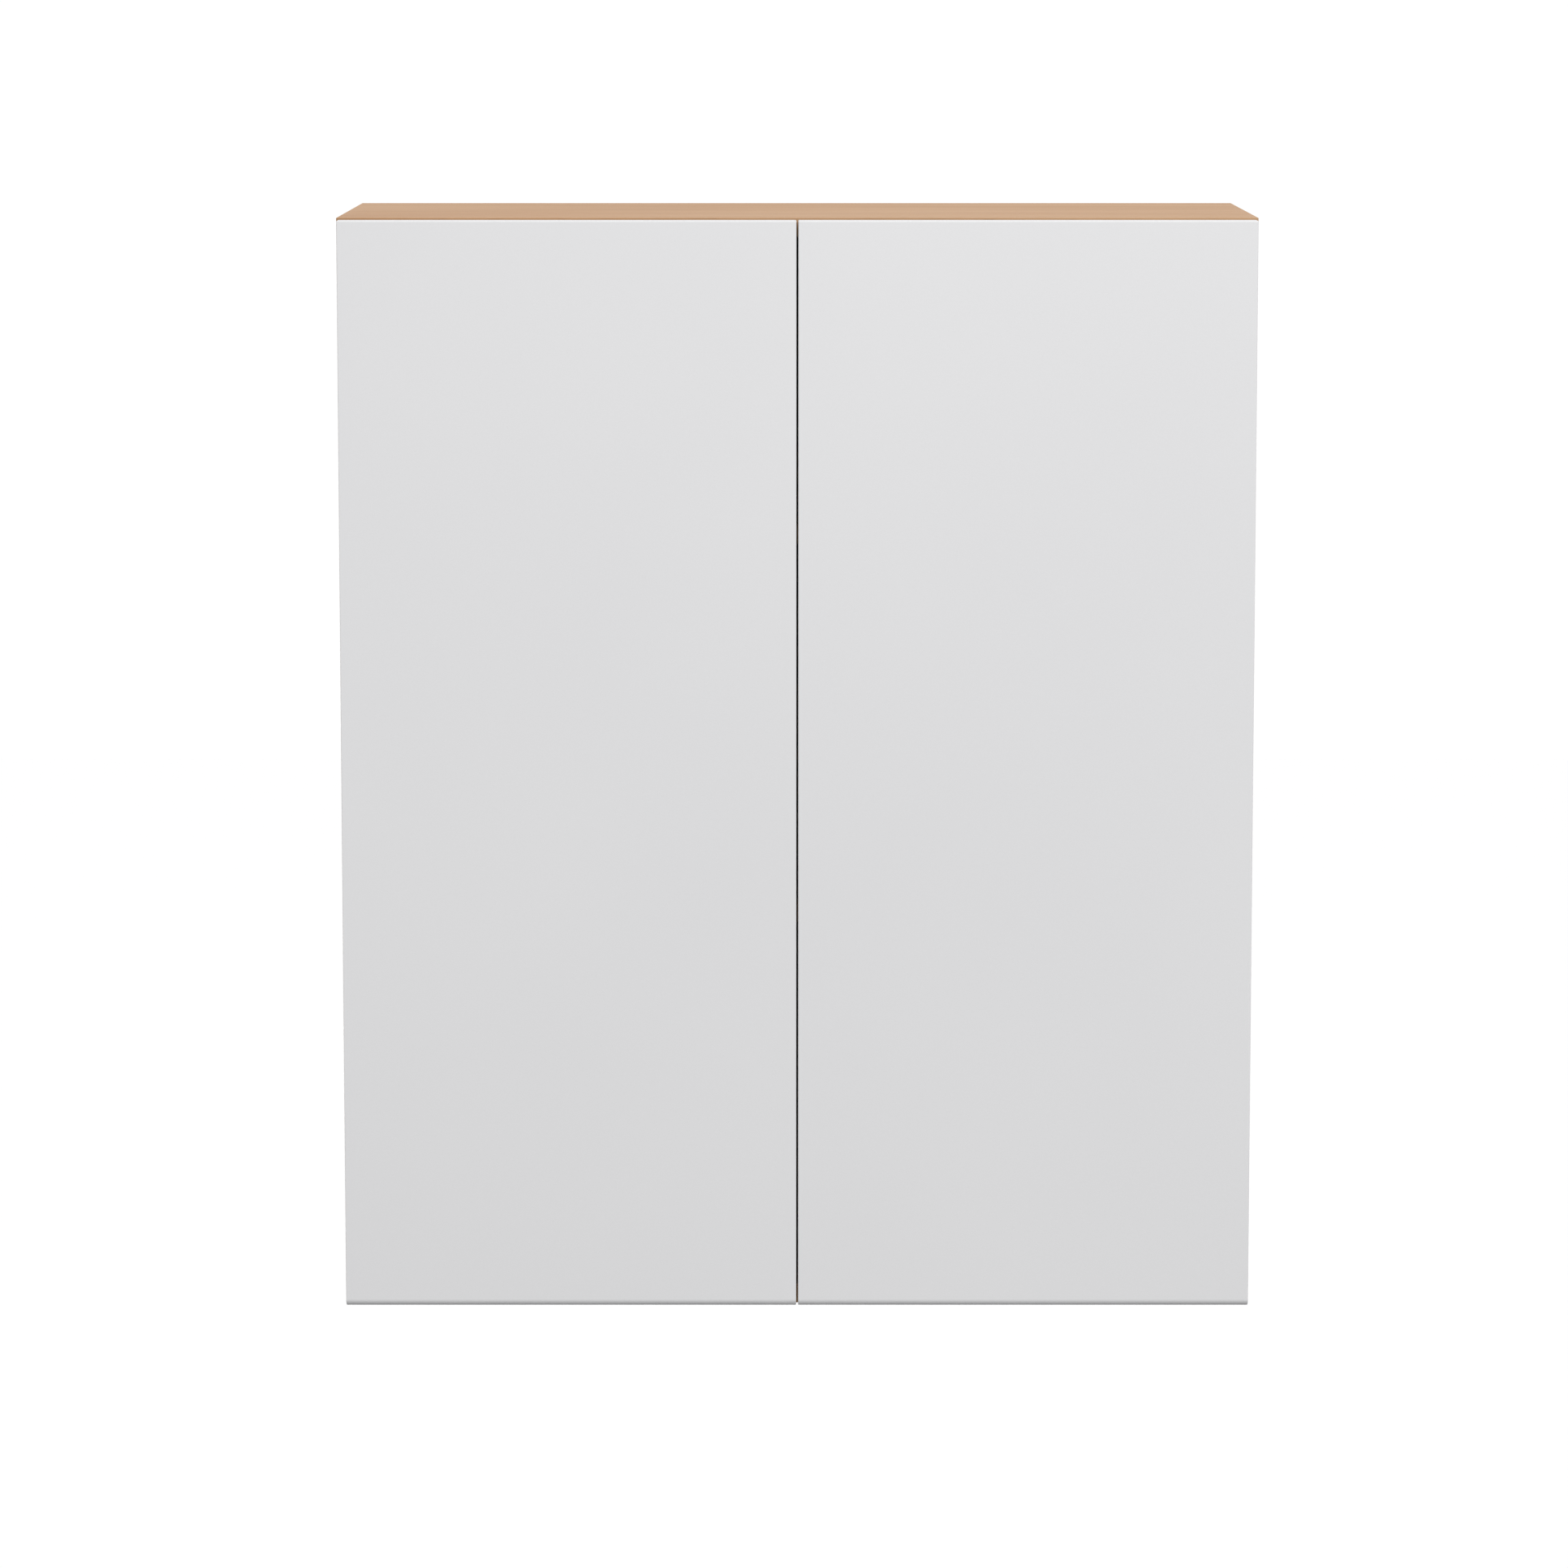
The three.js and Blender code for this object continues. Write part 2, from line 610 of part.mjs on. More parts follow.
/** The outer link: one bent bar between the lugs. */
function outerLink() {
  const halves = [outerPivotOnArm, outerPivotInCup].map((pivot) => {
    const outline = stadium(pivot, outerLinkElbow, linkEndRadius);
    return slabAlongZ(outline, -outerLinkHalfWidth, outerLinkHalfWidth);
  });
  const past = outerLinkHalfWidth + overcut;
  const eyes = [outerPivotOnArm, outerPivotInCup].map((place) => alongZ(eyeRadius, place, -past, past));
  return cut(join(...halves), ...eyes);
}

/** The inner link: two cheeks outside the lugs, joined by a round spacer past their open eyes. */
function innerLink() {
  const arm = innerPivotOnArm;
  const eye = innerLinkEye;
  const cheeks = mirrored(
    (z0, z1) => {
      const shank = slabAlongZ(stadium(arm, eye, linkEndRadius), z0, z1);
      const ring = alongZ(openEyeRadius + linkWall, eye, z0, z1, openEyeFacets);
      return join(shank, ring);
    },
    cheekInner,
    cheekOuter,
  );
  const past = cheekOuter + overcut;
  const eyes = [
    alongZ(eyeRadius, arm, -past, past),
    alongZ(openEyeRadius, eye, -past, past, openEyeFacets),
  ];
  const outwards = new THREE.Vector2(eye[0] - arm[0], eye[1] - arm[1]).normalize();
  const reach = openEyeRadius + spacerRadius;
  const spacerPlace = [eye[0] + outwards.x * reach, eye[1] + outwards.y * reach];
  const spacerEnd = cheekInner + spacerLap;
  const spacer = alongZ(spacerRadius, spacerPlace, -spacerEnd, spacerEnd);
  return join(cut(cheeks, ...eyes), spacer);
}

for (const { side, sign } of sides) {
  for (const { level, z } of hingeLevels) {
    const hinge = new THREE.Group();
    hinge.position.set(sign * innerFaceX, frontY, z);
    hinge.rotation.y = sign > 0 ? Math.PI : 0;
    box.add(hinge);
    addPart(hinge, `hinge_cup_${side}_${level}`, hingeCup(), nickel);
    addPart(hinge, `hinge_plate_${side}_${level}`, mountingPlate(), nickel);
    addPart(hinge, `hinge_arm_${side}_${level}`, hingeArm(), nickel);
    addPart(hinge, `hinge_outer_link_${side}_${level}`, outerLink(), nickel);
    addPart(hinge, `hinge_inner_link_${side}_${level}`, innerLink(), nickel);
  }
}

export default cabinet;
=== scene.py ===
"""A hanging wall cabinet: an oak-toned veneered box with two matt pale-grey doors on concealed hinges.

Lengths are metres in the cabinet's own frame: X to the right of someone facing the doors, Y into the
wall, Z up. Sizes of the boards, the places of the hinges and their pivots come from the frame.
"""

import json
import math

import bpy
import numpy as np
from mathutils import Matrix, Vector


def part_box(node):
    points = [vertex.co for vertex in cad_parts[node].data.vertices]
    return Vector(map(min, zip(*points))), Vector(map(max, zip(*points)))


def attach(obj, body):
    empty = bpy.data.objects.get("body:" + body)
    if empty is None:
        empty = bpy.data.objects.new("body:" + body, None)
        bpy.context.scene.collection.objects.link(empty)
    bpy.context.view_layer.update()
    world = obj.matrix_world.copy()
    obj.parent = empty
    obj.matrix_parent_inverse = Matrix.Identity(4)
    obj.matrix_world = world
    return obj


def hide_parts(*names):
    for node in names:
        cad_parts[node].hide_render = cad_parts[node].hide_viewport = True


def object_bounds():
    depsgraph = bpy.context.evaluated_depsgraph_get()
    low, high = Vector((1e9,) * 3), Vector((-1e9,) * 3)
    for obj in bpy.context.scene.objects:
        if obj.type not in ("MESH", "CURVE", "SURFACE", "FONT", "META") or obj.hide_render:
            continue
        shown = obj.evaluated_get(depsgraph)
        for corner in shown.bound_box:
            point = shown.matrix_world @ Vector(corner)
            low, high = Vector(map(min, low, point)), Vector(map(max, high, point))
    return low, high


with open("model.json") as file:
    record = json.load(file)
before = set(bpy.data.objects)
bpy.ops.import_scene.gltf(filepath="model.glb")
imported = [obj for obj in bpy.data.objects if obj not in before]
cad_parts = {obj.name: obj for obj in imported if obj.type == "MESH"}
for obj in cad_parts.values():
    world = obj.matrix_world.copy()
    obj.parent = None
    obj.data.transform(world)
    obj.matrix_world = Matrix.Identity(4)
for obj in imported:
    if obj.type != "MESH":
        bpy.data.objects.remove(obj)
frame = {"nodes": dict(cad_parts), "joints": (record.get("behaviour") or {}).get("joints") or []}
cad_box = [list(corner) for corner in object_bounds()]

MM = 0.001
SIDES = (("left", -1), ("right", 1))
LEVELS = ("lower", "upper")


def node_box(node):
    """A CAD node's lowest and highest corners as arrays."""
    low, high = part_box(node)
    return np.array(low), np.array(high)


# ---------------------------------------------------------------- camera, stage and light
VIEW_DISTANCE = 4.88  # from the door fronts
VIEW_HEIGHT = 0.207  # above the cabinet's top
VIEW_ASIDE = -0.011
VIEW_PITCH = math.radians(7.13)
LENS = 135.9
FRAME_SHIFT = -0.05
FLOOR_DROP = 2.8  # from the cabinet's underside to the floor
FLOOR_REACH = 24
FLOOR_PAINT = (0.93, 0.93, 0.93, 1)
FLOOR_GLOW = 0.25
SEEN_TO = 100  # metres from the camera
WHITE = (1, 1, 1, 1)
SKY = [(0.40, 0.13), (0.54, 0.945), (1, 0.73)]  # grey levels from straight down to straight up
BACKDROP_STRENGTH = 1.02
LAMP_SIZE = (2.6, 1.8)
# Each lamp's place, the place it is turned to and its watts.
FRONT_LAMP = ((0.75, -3.8, 1.9), (0, -0.3, -0.3), 87)
REAR_LAMP = ((-1.8, 3.2, -1.0), (0, 0, -0.4), 48)


def make_camera():
    """A long lens straight in front of the doors and a little above the top, tipped down."""
    low, high = (np.array(corner) for corner in cad_box)
    data = bpy.data.cameras.new("camera")
    data.lens = LENS
    data.shift_y = FRAME_SHIFT
    data.clip_end = SEEN_TO
    camera = bpy.data.objects.new("camera", data)
    camera.location = (VIEW_ASIDE, low[1] - VIEW_DISTANCE, high[2] + VIEW_HEIGHT)
    camera.rotation_euler = (math.pi / 2 - VIEW_PITCH, 0, 0)
    bpy.context.scene.collection.objects.link(camera)
    bpy.context.scene.camera = camera


def softbox(name, place, aim, watts):
    """An oblong area light at a place, turned towards another place."""
    data = bpy.data.lights.new(name, "AREA")
    data.shape = "RECTANGLE"
    data.size, data.size_y = LAMP_SIZE
    data.energy = watts
    light = bpy.data.objects.new(name, data)
    light.location = place
    heading = Vector(aim) - Vector(place)
    light.rotation_euler = heading.to_track_quat("-Z", "Y").to_euler()
    bpy.context.scene.collection.objects.link(light)


def make_light():
    """A bright even sky, much darker from below, with a large soft light in front and one behind."""
    world = bpy.data.worlds.new("studio")
    world.use_nodes = True
    bpy.context.scene.world = world
    tree = world.node_tree
    tree.nodes.clear()
    net = Net(tree)
    direction = net.add("ShaderNodeTexCoord").outputs["Generated"]
    height = net.add("ShaderNodeSeparateXYZ", Vector=direction).outputs["Z"]
    sky = net.ramp(net.maths("MULTIPLY_ADD", height, 0.5, 0.5), SKY)
    seen = net.add("ShaderNodeLightPath").outputs["Is Camera Ray"]
    even = net.add("ShaderNodeBackground", Color=sky, Strength=1.0)
    white = net.add("ShaderNodeBackground", Color=WHITE, Strength=BACKDROP_STRENGTH)
    mixed = net.add("ShaderNodeMixShader", Fac=seen)
    net.join(even.outputs[0], mixed.inputs[1])
    net.join(white.outputs[0], mixed.inputs[2])
    net.join(mixed.outputs[0], net.add("ShaderNodeOutputWorld").inputs["Surface"])
    softbox("front_softbox", *FRONT_LAMP)
    softbox("rear_softbox", *REAR_LAMP)


def make_floor():
    """A flat pale floor, far below the cabinet as in a room."""
    low, _ = (np.array(corner) for corner in cad_box)
    reach = FLOOR_REACH
    z = low[2] - FLOOR_DROP
    corners = np.array([(-reach, -reach, z), (reach, -reach, z), (reach, reach, z), (-reach, reach, z)])
    mesh = bpy.data.meshes.new("floor")
    mesh.from_pydata(corners.tolist(), [], [(0, 1, 2, 3)])
    floor = bpy.data.objects.new("floor", mesh)
    floor.visible_diffuse = False
    bpy.context.scene.collection.objects.link(floor)
    material, net, shader = new_material("floor_paint")
    shader.inputs["Base Color"].default_value = FLOOR_PAINT
    shader.inputs["Emission Color"].default_value = WHITE
    shader.inputs["Emission Strength"].default_value = FLOOR_GLOW
    shader.inputs["Specular IOR Level"].default_value = 0
    shader.inputs["Roughness"].default_value = 0.9
    mesh.materials.append(material)


# ---------------------------------------------------------------- node networks
class Net:
    """Short calls that add and join the nodes of one material."""

    def __init__(self, tree):
        self.tree = tree

    def join(self, source, target):
        """A link from an output to an input."""
        self.tree.links.new(source, target)

    def add(self, kind, settings=None, **inputs):
        """A node with its settings, and each named input set to a value or joined to an output."""
        node = self.tree.nodes.new(kind)
        for key, value in (settings or {}).items():
            setattr(node, key, value)
        for key, value in inputs.items():
            socket = node.inputs[key.replace("_", " ")]
            if isinstance(value, bpy.types.NodeSocket):
                self.join(value, socket)
            else:
                socket.default_value = value
        return node

    def maths(self, operation, *values):
        """One sum on values or outputs."""
        node = self.tree.nodes.new("ShaderNodeMath")
        node.operation = operation
        for socket, value in zip(node.inputs, values):
            if isinstance(value, bpy.types.NodeSocket):
                self.join(value, socket)
            else:
                socket.default_value = value
        return node.outputs[0]

    def ramp(self, factor, stops):
        """A colour ramp: each stop is a place and a grey level or a colour."""
        node = self.add("ShaderNodeValToRGB", Fac=factor)
        points = node.color_ramp.elements
        while len(points) < len(stops):
            points.new(0.5)
        for point, (place, colour) in zip(points, stops):
            point.position = place
            point.color = (colour,) * 3 + (1,) if isinstance(colour, (int, float)) else (*colour, 1)
        return node.outputs["Color"]

    def place(self, scale):
        """Object coordinates in metres, each axis multiplied by its own scale."""
        where = self.add("ShaderNodeTexCoord").outputs["Object"]
        return self.add("ShaderNodeMapping", Vector=where, Scale=scale).outputs[0]

    def noise(self, scale, detail=2.0, roughness=0.5, distortion=0.0):
        """Cloudy noise with its own number of cycles per metre along each axis."""
        where = self.place(scale)
        node = self.add("ShaderNodeTexNoise", Vector=where, Scale=1.0, Detail=detail)
        node.inputs["Roughness"].default_value = roughness
        node.inputs["Distortion"].default_value = distortion
        return node.outputs["Fac"]

    def mix(self, factor, first, second, blend="MIX"):
        """Two colours mixed by a factor."""
        node = self.tree.nodes.new("ShaderNodeMix")
        node.data_type = "RGBA"
        node.blend_type = blend
        for socket, value in ((node.inputs[0], factor), (node.inputs[6], first), (node.inputs[7], second)):
            if isinstance(value, bpy.types.NodeSocket):
                self.join(value, socket)
            elif isinstance(value, (int, float)):
                socket.default_value = value
            else:
                socket.default_value = (*value, 1)
        return node.outputs[2]

    def spread(self, value, low, high):
        """A value of nought to one, spread between two others."""
        return self.add("ShaderNodeMapRange", Value=value, To_Min=low, To_Max=high).outputs[0]

    def bump(self, height, depth):
        """A normal from a height of nought to one, times a depth in metres."""
        node = self.add("ShaderNodeBump", Height=height, Distance=depth, Strength=1.0)
        return node.outputs["Normal"]


def new_material(name):
    """A named material, its network and its surface shader."""
    material = bpy.data.materials.new(name)
    material.use_nodes = True
    net = Net(material.node_tree)
    return material, net, material.node_tree.nodes["Principled BSDF"]


PALE_EDGE_FROM, PALE_EDGE_TO = 0.52, 0.90  # pointedness at which the paler edges, partly wear and partly painted highlight, start and are full


def edge_wear_and_highlight(net):
    """Nought on flat faces and one on outward edges, which are made paler: partly wear, partly a painted
    highlight.
    """
    pointed = net.add("ShaderNodeNewGeometry").outputs["Pointiness"]
    node = net.add("ShaderNodeMapRange", Value=pointed)
    node.inputs["From Min"].default_value = PALE_EDGE_FROM
    node.inputs["From Max"].default_value = PALE_EDGE_TO
    return node.outputs[0]


def along_grain(axis, along, across):
    """Cycles per metre: few along the grain's axis and many across it."""
    return tuple(along if index == axis else across for index in range(3))


# ---------------------------------------------------------------- finishes
VENEER_PALE = (0.620, 0.390, 0.222)
VENEER_MID = (0.570, 0.336, 0.178)
VENEER_DEEP = (0.480, 0.260, 0.126)
VENEER_WARM = (0.60, 0.33, 0.17)
# Cycles of each of the veneer's patterns for a metre along the grain and a metre across it.
BANDS = (1.1, 7)
LINES = (1.6, 95)
FIBRES = (5, 520)
PORES = (42, 1500)
CHIPS_PER_METRE = 700.0
CHIP_BROWNS = [(0.0, (0.20, 0.12, 0.065)), (0.5, (0.36, 0.24, 0.14)), (1, (0.50, 0.36, 0.22))]
LACQUER_GREYS = [(0.3, (0.775, 0.775, 0.785)), (0.7, (0.795, 0.795, 0.803))]
# The paler grey of the doors' edges: partly wear, partly a painted highlight.
LACQUER_PALE_EDGE = (0.84, 0.84, 0.845)
RUBBER_GREYS = [(0.3, (0.64, 0.66, 0.66)), (0.7, (0.76, 0.78, 0.78))]


def veneer(name, axis, tone=1.0):
    """Pale oak-toned veneer: wide soft bands, fine straight lines and short dark pores along one axis."""
    material, net, shader = new_material(name)
    drift = net.noise(along_grain(axis, *BANDS), detail=3, distortion=0.6)
    lines = net.noise(along_grain(axis, *LINES), detail=5, roughness=0.62, distortion=0.25)
    fine = net.noise(along_grain(axis, *FIBRES), detail=3, roughness=0.6)
    pores = net.noise(along_grain(axis, *PORES), detail=1)
    figure = net.maths("ADD", net.maths("MULTIPLY", drift, 0.45), net.maths("MULTIPLY", lines, 0.55))
    colour = net.ramp(figure, [(0.30, VENEER_DEEP), (0.47, VENEER_MID), (0.62, VENEER_PALE)])
    streak = net.ramp(fine, [(0.35, 0.90), (0.60, 1.02)])
    colour = net.mix(0.75, colour, streak, "MULTIPLY")
    pore = net.ramp(pores, [(0.30, 0.72), (0.40, 1.0)])
    colour = net.mix(0.55, colour, pore, "MULTIPLY")
    warm = net.noise((5, 5, 5), detail=1)
    colour = net.mix(net.maths("MULTIPLY", warm, 0.08), colour, VENEER_WARM)
    colour = net.mix(1.0, colour, (tone, tone, tone), "MULTIPLY")
    # Outward edges are mixed towards the pale veneer: partly wear, partly a painted highlight.
    edge = net.maths("MULTIPLY", edge_wear_and_highlight(net), 0.25)
    net.join(net.mix(edge, colour, VENEER_PALE), shader.inputs["Base Color"])
    net.join(net.spread(lines, 0.46, 0.66), shader.inputs["Roughness"])
    shader.inputs["Specular IOR Level"].default_value = 0.22
    relief = net.maths("ADD", net.maths("MULTIPLY", pores, 0.6), net.maths("MULTIPLY", fine, 0.4))
    net.join(net.bump(relief, 0.06 * MM), shader.inputs["Normal"])
    return material


def chipboard():
    """The core of a board where a hole or a groove opens it: pressed chips of several browns."""
    material, net, shader = new_material("chipboard_core")
    where = net.place((1, 1, 1))
    chips = net.add("ShaderNodeTexVoronoi", Vector=where, Scale=CHIPS_PER_METRE)
    tint = net.add("ShaderNodeSeparateColor", Color=chips.outputs["Color"]).outputs[0]
    net.join(net.ramp(tint, CHIP_BROWNS), shader.inputs["Base Color"])
    dust = net.noise((900, 900, 900), detail=2)
    net.join(net.spread(dust, 0.8, 0.95), shader.inputs["Roughness"])
    net.join(net.bump(tint, 0.15 * MM), shader.inputs["Normal"])
    return material


def lacquer():
    """Matt pale-grey lacquer: nearly even, with a faint spray texture and slightly paler edges, partly wear
    and partly a painted highlight.
    """
    material, net, shader = new_material("door_lacquer")
    cloud = net.noise((2.2, 2.2, 2.2), detail=3)
    speck = net.noise((900, 900, 900), detail=2)
    colour = net.ramp(cloud, LACQUER_GREYS)
    colour = net.mix(0.35, colour, net.ramp(speck, [(0.35, 0.965), (0.6, 1.0)]), "MULTIPLY")
    # Outward edges are mixed towards a paler grey: partly wear, partly a painted highlight.
    edge = net.maths("MULTIPLY", edge_wear_and_highlight(net), 0.35)
    net.join(net.mix(edge, colour, LACQUER_PALE_EDGE), shader.inputs["Base Color"])
    hazy = net.noise((35, 35, 35), detail=3)
    net.join(net.spread(hazy, 0.44, 0.54), shader.inputs["Roughness"])
    shader.inputs["Specular IOR Level"].default_value = 0.35
    peel = net.noise((430, 430, 430), detail=2, roughness=0.4)
    net.join(net.bump(peel, 0.012 * MM), shader.inputs["Normal"])
    return material


def plated(name, colour, glossiest, dullest, grain):
    """Plated or cast metal: an uneven gloss, fine rubbed marks, random darker clouds and brighter edges,
    partly wear and partly a painted highlight.
    """
    material, net, shader = new_material(name)
    marks = net.noise((260, 260, 1400), detail=3, roughness=0.6)
    cloud = net.noise((60, 60, 60), detail=3)
    dark = tuple(0.78 * part for part in colour)
    tint = net.mix(net.maths("MULTIPLY", cloud, 0.6), colour, dark)
    bright = tuple(min(1.0, 1.12 * part) for part in colour)
    # Outward edges are mixed towards a brighter metal: partly wear, partly a painted highlight.
    edge = net.maths("MULTIPLY", edge_wear_and_highlight(net), 0.5)
    net.join(net.mix(edge, tint, bright), shader.inputs["Base Color"])
    net.join(net.spread(marks, glossiest, dullest), shader.inputs["Roughness"])
    shader.inputs["Metallic"].default_value = 1
    pits = net.noise((grain, grain, grain), detail=2)
    net.join(net.bump(pits, 0.02 * MM), shader.inputs["Normal"])
    return material


def clear_rubber():
    """A soft see-through pad with a slightly cloudy body."""
    material, net, shader = new_material("clear_rubber")
    cloud = net.noise((400, 400, 400), detail=2)
    net.join(net.ramp(cloud, RUBBER_GREYS), shader.inputs["Base Color"])
    net.join(net.spread(cloud, 0.28, 0.42), shader.inputs["Roughness"])
    shader.inputs["Transmission Weight"].default_value = 0.45
    shader.inputs["IOR"].default_value = 1.45
    net.join(net.bump(cloud, 0.02 * MM), shader.inputs["Normal"])
    return material


make_camera()
make_light()
make_floor()

VENEER_X = veneer("veneer_across", 0)
VENEER_Z = veneer("veneer_upright", 2)
# The front edge bands are made darker than the faces: partly their own tone, partly painted shade for the
# shadowed reveal between the doors and the box.
SHADED_BAND_X = veneer("edge_band_across", 0, 0.76)
SHADED_BAND_Z = veneer("edge_band_upright", 2, 0.76)
BAND_Y = veneer("edge_band_on_ends", 1, 0.82)
BACKING = veneer("back_panel_veneer", 2, 0.94)
CORE = chipboard()
LACQUER = lacquer()
NICKEL = plated("nickel_plate", (0.56, 0.54, 0.51), 0.20, 0.36, 900)
ZINC = plated("cast_zinc", (0.36, 0.36, 0.37), 0.42, 0.62, 1500)
RUBBER = clear_rubber()


# ---------------------------------------------------------------- surfaces as arrays
POLE = 0.02 * MM  # radius of the tiny flat where a turned shape meets its axis
SAME = 1e-7  # metres, below which two places are the same
SHARP_ANGLE = math.radians(38)
SHARPEST_MITRE = 0.3


def turned(points):
    """Quarter-turned directions: (a, b) becomes (b, -a)."""
    return np.stack([points[..., 1], -points[..., 0]], axis=-1)


def unit(vectors):
    """Each vector divided by its own length."""
    return vectors / np.linalg.norm(vectors, axis=-1, keepdims=True)


def rounded(corners, radii, steps=5):
    """A closed outline with its corners rounded.

    At a corner with directions p to the last corner and q to the next one, at an angle t between them,
    the arc's centre lies on the middle direction, radius / sin(t / 2) from the corner, and the arc
    turns between the two points at radius / tan(t / 2) along p and q. A radius of nought keeps the
    corner sharp."""
    corners = np.asarray(corners, float)
    outline = []
    for corner, before, after, radius in zip(
        corners, np.roll(corners, 1, axis=0), np.roll(corners, -1, axis=0), radii
    ):
        if not radius:
            outline.append(corner[None])
            continue
        p, q = unit(before - corner), unit(after - corner)
        half = math.acos(np.clip(p @ q, -1, 1)) / 2
        centre = corner + unit(p + q) * radius / math.sin(half)
        ends = np.array([corner + p * radius / math.tan(half), corner + q * radius / math.tan(half)])
        start, end = np.arctan2(*(ends - centre).T[::-1])
        sweep = (end - start + math.pi) % (2 * math.pi) - math.pi
        angle = start + sweep * np.linspace(0, 1, steps + 1)
        outline.append(centre + radius * np.stack([np.cos(angle), np.sin(angle)], axis=-1))
    return np.concatenate(outline)


def ribbon(path, radius, steps=12):
    """The outline round a bent bar: a path of points offset to both sides, with a half circle at each
    end and a mitre at each bend."""
    path = np.asarray(path, float)
    ways = unit(np.diff(path, axis=0))
    sides = turned(ways)
    bend = unit(sides[:-1] + sides[1:])
    mitre = bend / np.sum(bend * sides[:-1], axis=-1, keepdims=True)
    offsets = radius * mitre
    start, end = np.arctan2(sides[0, 1], sides[0, 0]), np.arctan2(sides[-1, 1], sides[-1, 0])
    turn = np.linspace(0, math.pi, steps + 1)
    tip = path[-1] + radius * np.stack([np.cos(end + turn), np.sin(end + turn)], axis=-1)
    back = start + math.pi + turn
    heel = path[0] + radius * np.stack([np.cos(back), np.sin(back)], axis=-1)
    return np.concatenate([heel, path[1:-1] + offsets, tip, (path[1:-1] - offsets)[::-1]])


def outward(outline):
    """Outward directions at an outline's points, long enough that an inset keeps its edges parallel."""
    ways = unit(np.roll(outline, -1, axis=0) - outline)
    normals = turned(ways)
    before = np.roll(normals, 1, axis=0)
    middle = unit(normals + before)
    middle = middle / np.clip(np.sum(middle * normals, axis=-1, keepdims=True), SHARPEST_MITRE, None)
    area = np.sum(outline[:, 0] * np.roll(outline[:, 1], -1) - outline[:, 1] * np.roll(outline[:, 0], -1))
    return middle if area > 0 else -middle


def with_lines(outline, places, face):
    """An outline with a point added at each place along its stretch where the second value is face."""
    for place in places:
        ahead = np.roll(outline, -1, axis=0)
        level = (np.abs(outline[:, 1] - face) < SAME) & (np.abs(ahead[:, 1] - face) < SAME)
        inside = level & ((outline[:, 0] - place) * (ahead[:, 0] - place) < -1e-12)
        outline = np.insert(outline, np.flatnonzero(inside) + 1, (place, face), axis=0)
    return outline


def round_ends(low, high, radius, steps=4):
    """Stations between two ends, and how far the outline is drawn in at each, for rounded end edges."""
    turn = np.linspace(0, math.pi / 2, steps + 1)
    along, inset = radius * (1 - np.cos(turn)), radius * (1 - np.sin(turn))
    return np.concatenate([low + along, (high - along)[::-1]]), np.concatenate([inset, inset[::-1]])


def pocket_block(pocket, outline, stations, face):
    """The rows and columns of a prism's grid that a pocket covers, in the flat stretch at face."""
    (a0, a1), (c0, c1) = pocket["across"], pocket["along"]
    on_face = np.abs(outline[:, 1] - face) < SAME
    inside = on_face & (outline[:, 0] > min(a0, a1) - SAME) & (outline[:, 0] < max(a0, a1) + SAME)
    rows = np.flatnonzero((stations > c0 - SAME) & (stations < c1 + SAME))
    return rows, np.flatnonzero(inside)


def pocket_walls(pocket, border, rim, count, inwards):
    """A pocket's rings of points, numbered on from count, and its faces and their skins.

    A round pocket first has a ring at radius r from its middle m, where each border point p goes to
    m + r * (p - m) / |p - m|. The last ring is that one, or the border, carried inwards by the depth.
    A wall joins each ring to the one before it, and a floor closes the last."""
    rings, wall_skins = [], []
    if "radius" in pocket:
        (a0, a1), (c0, c1) = pocket["across"], pocket["along"]
        middle = np.array([(a0 + a1) / 2, (c0 + c1) / 2])
        rim[:, [0, 2]] = middle + pocket["radius"] * unit(rim[:, [0, 2]] - middle)
        rings.append(rim)
        wall_skins.append(0)
    deep = rim.copy()
    deep[:, 1] += inwards * pocket["depth"]
    rings.append(deep)
    wall_skins.append(pocket["skin"])
    faces, skins = [], []
    for ring, skin in zip(rings, wall_skins):
        index = count + np.arange(len(ring))
        faces += np.stack([border, np.roll(border, -1), np.roll(index, -1), index], axis=-1).tolist()
        skins += [skin] * len(ring)
        count += len(ring)
        border = index
    return rings, faces + [border.tolist()], skins + [pocket["skin"]]


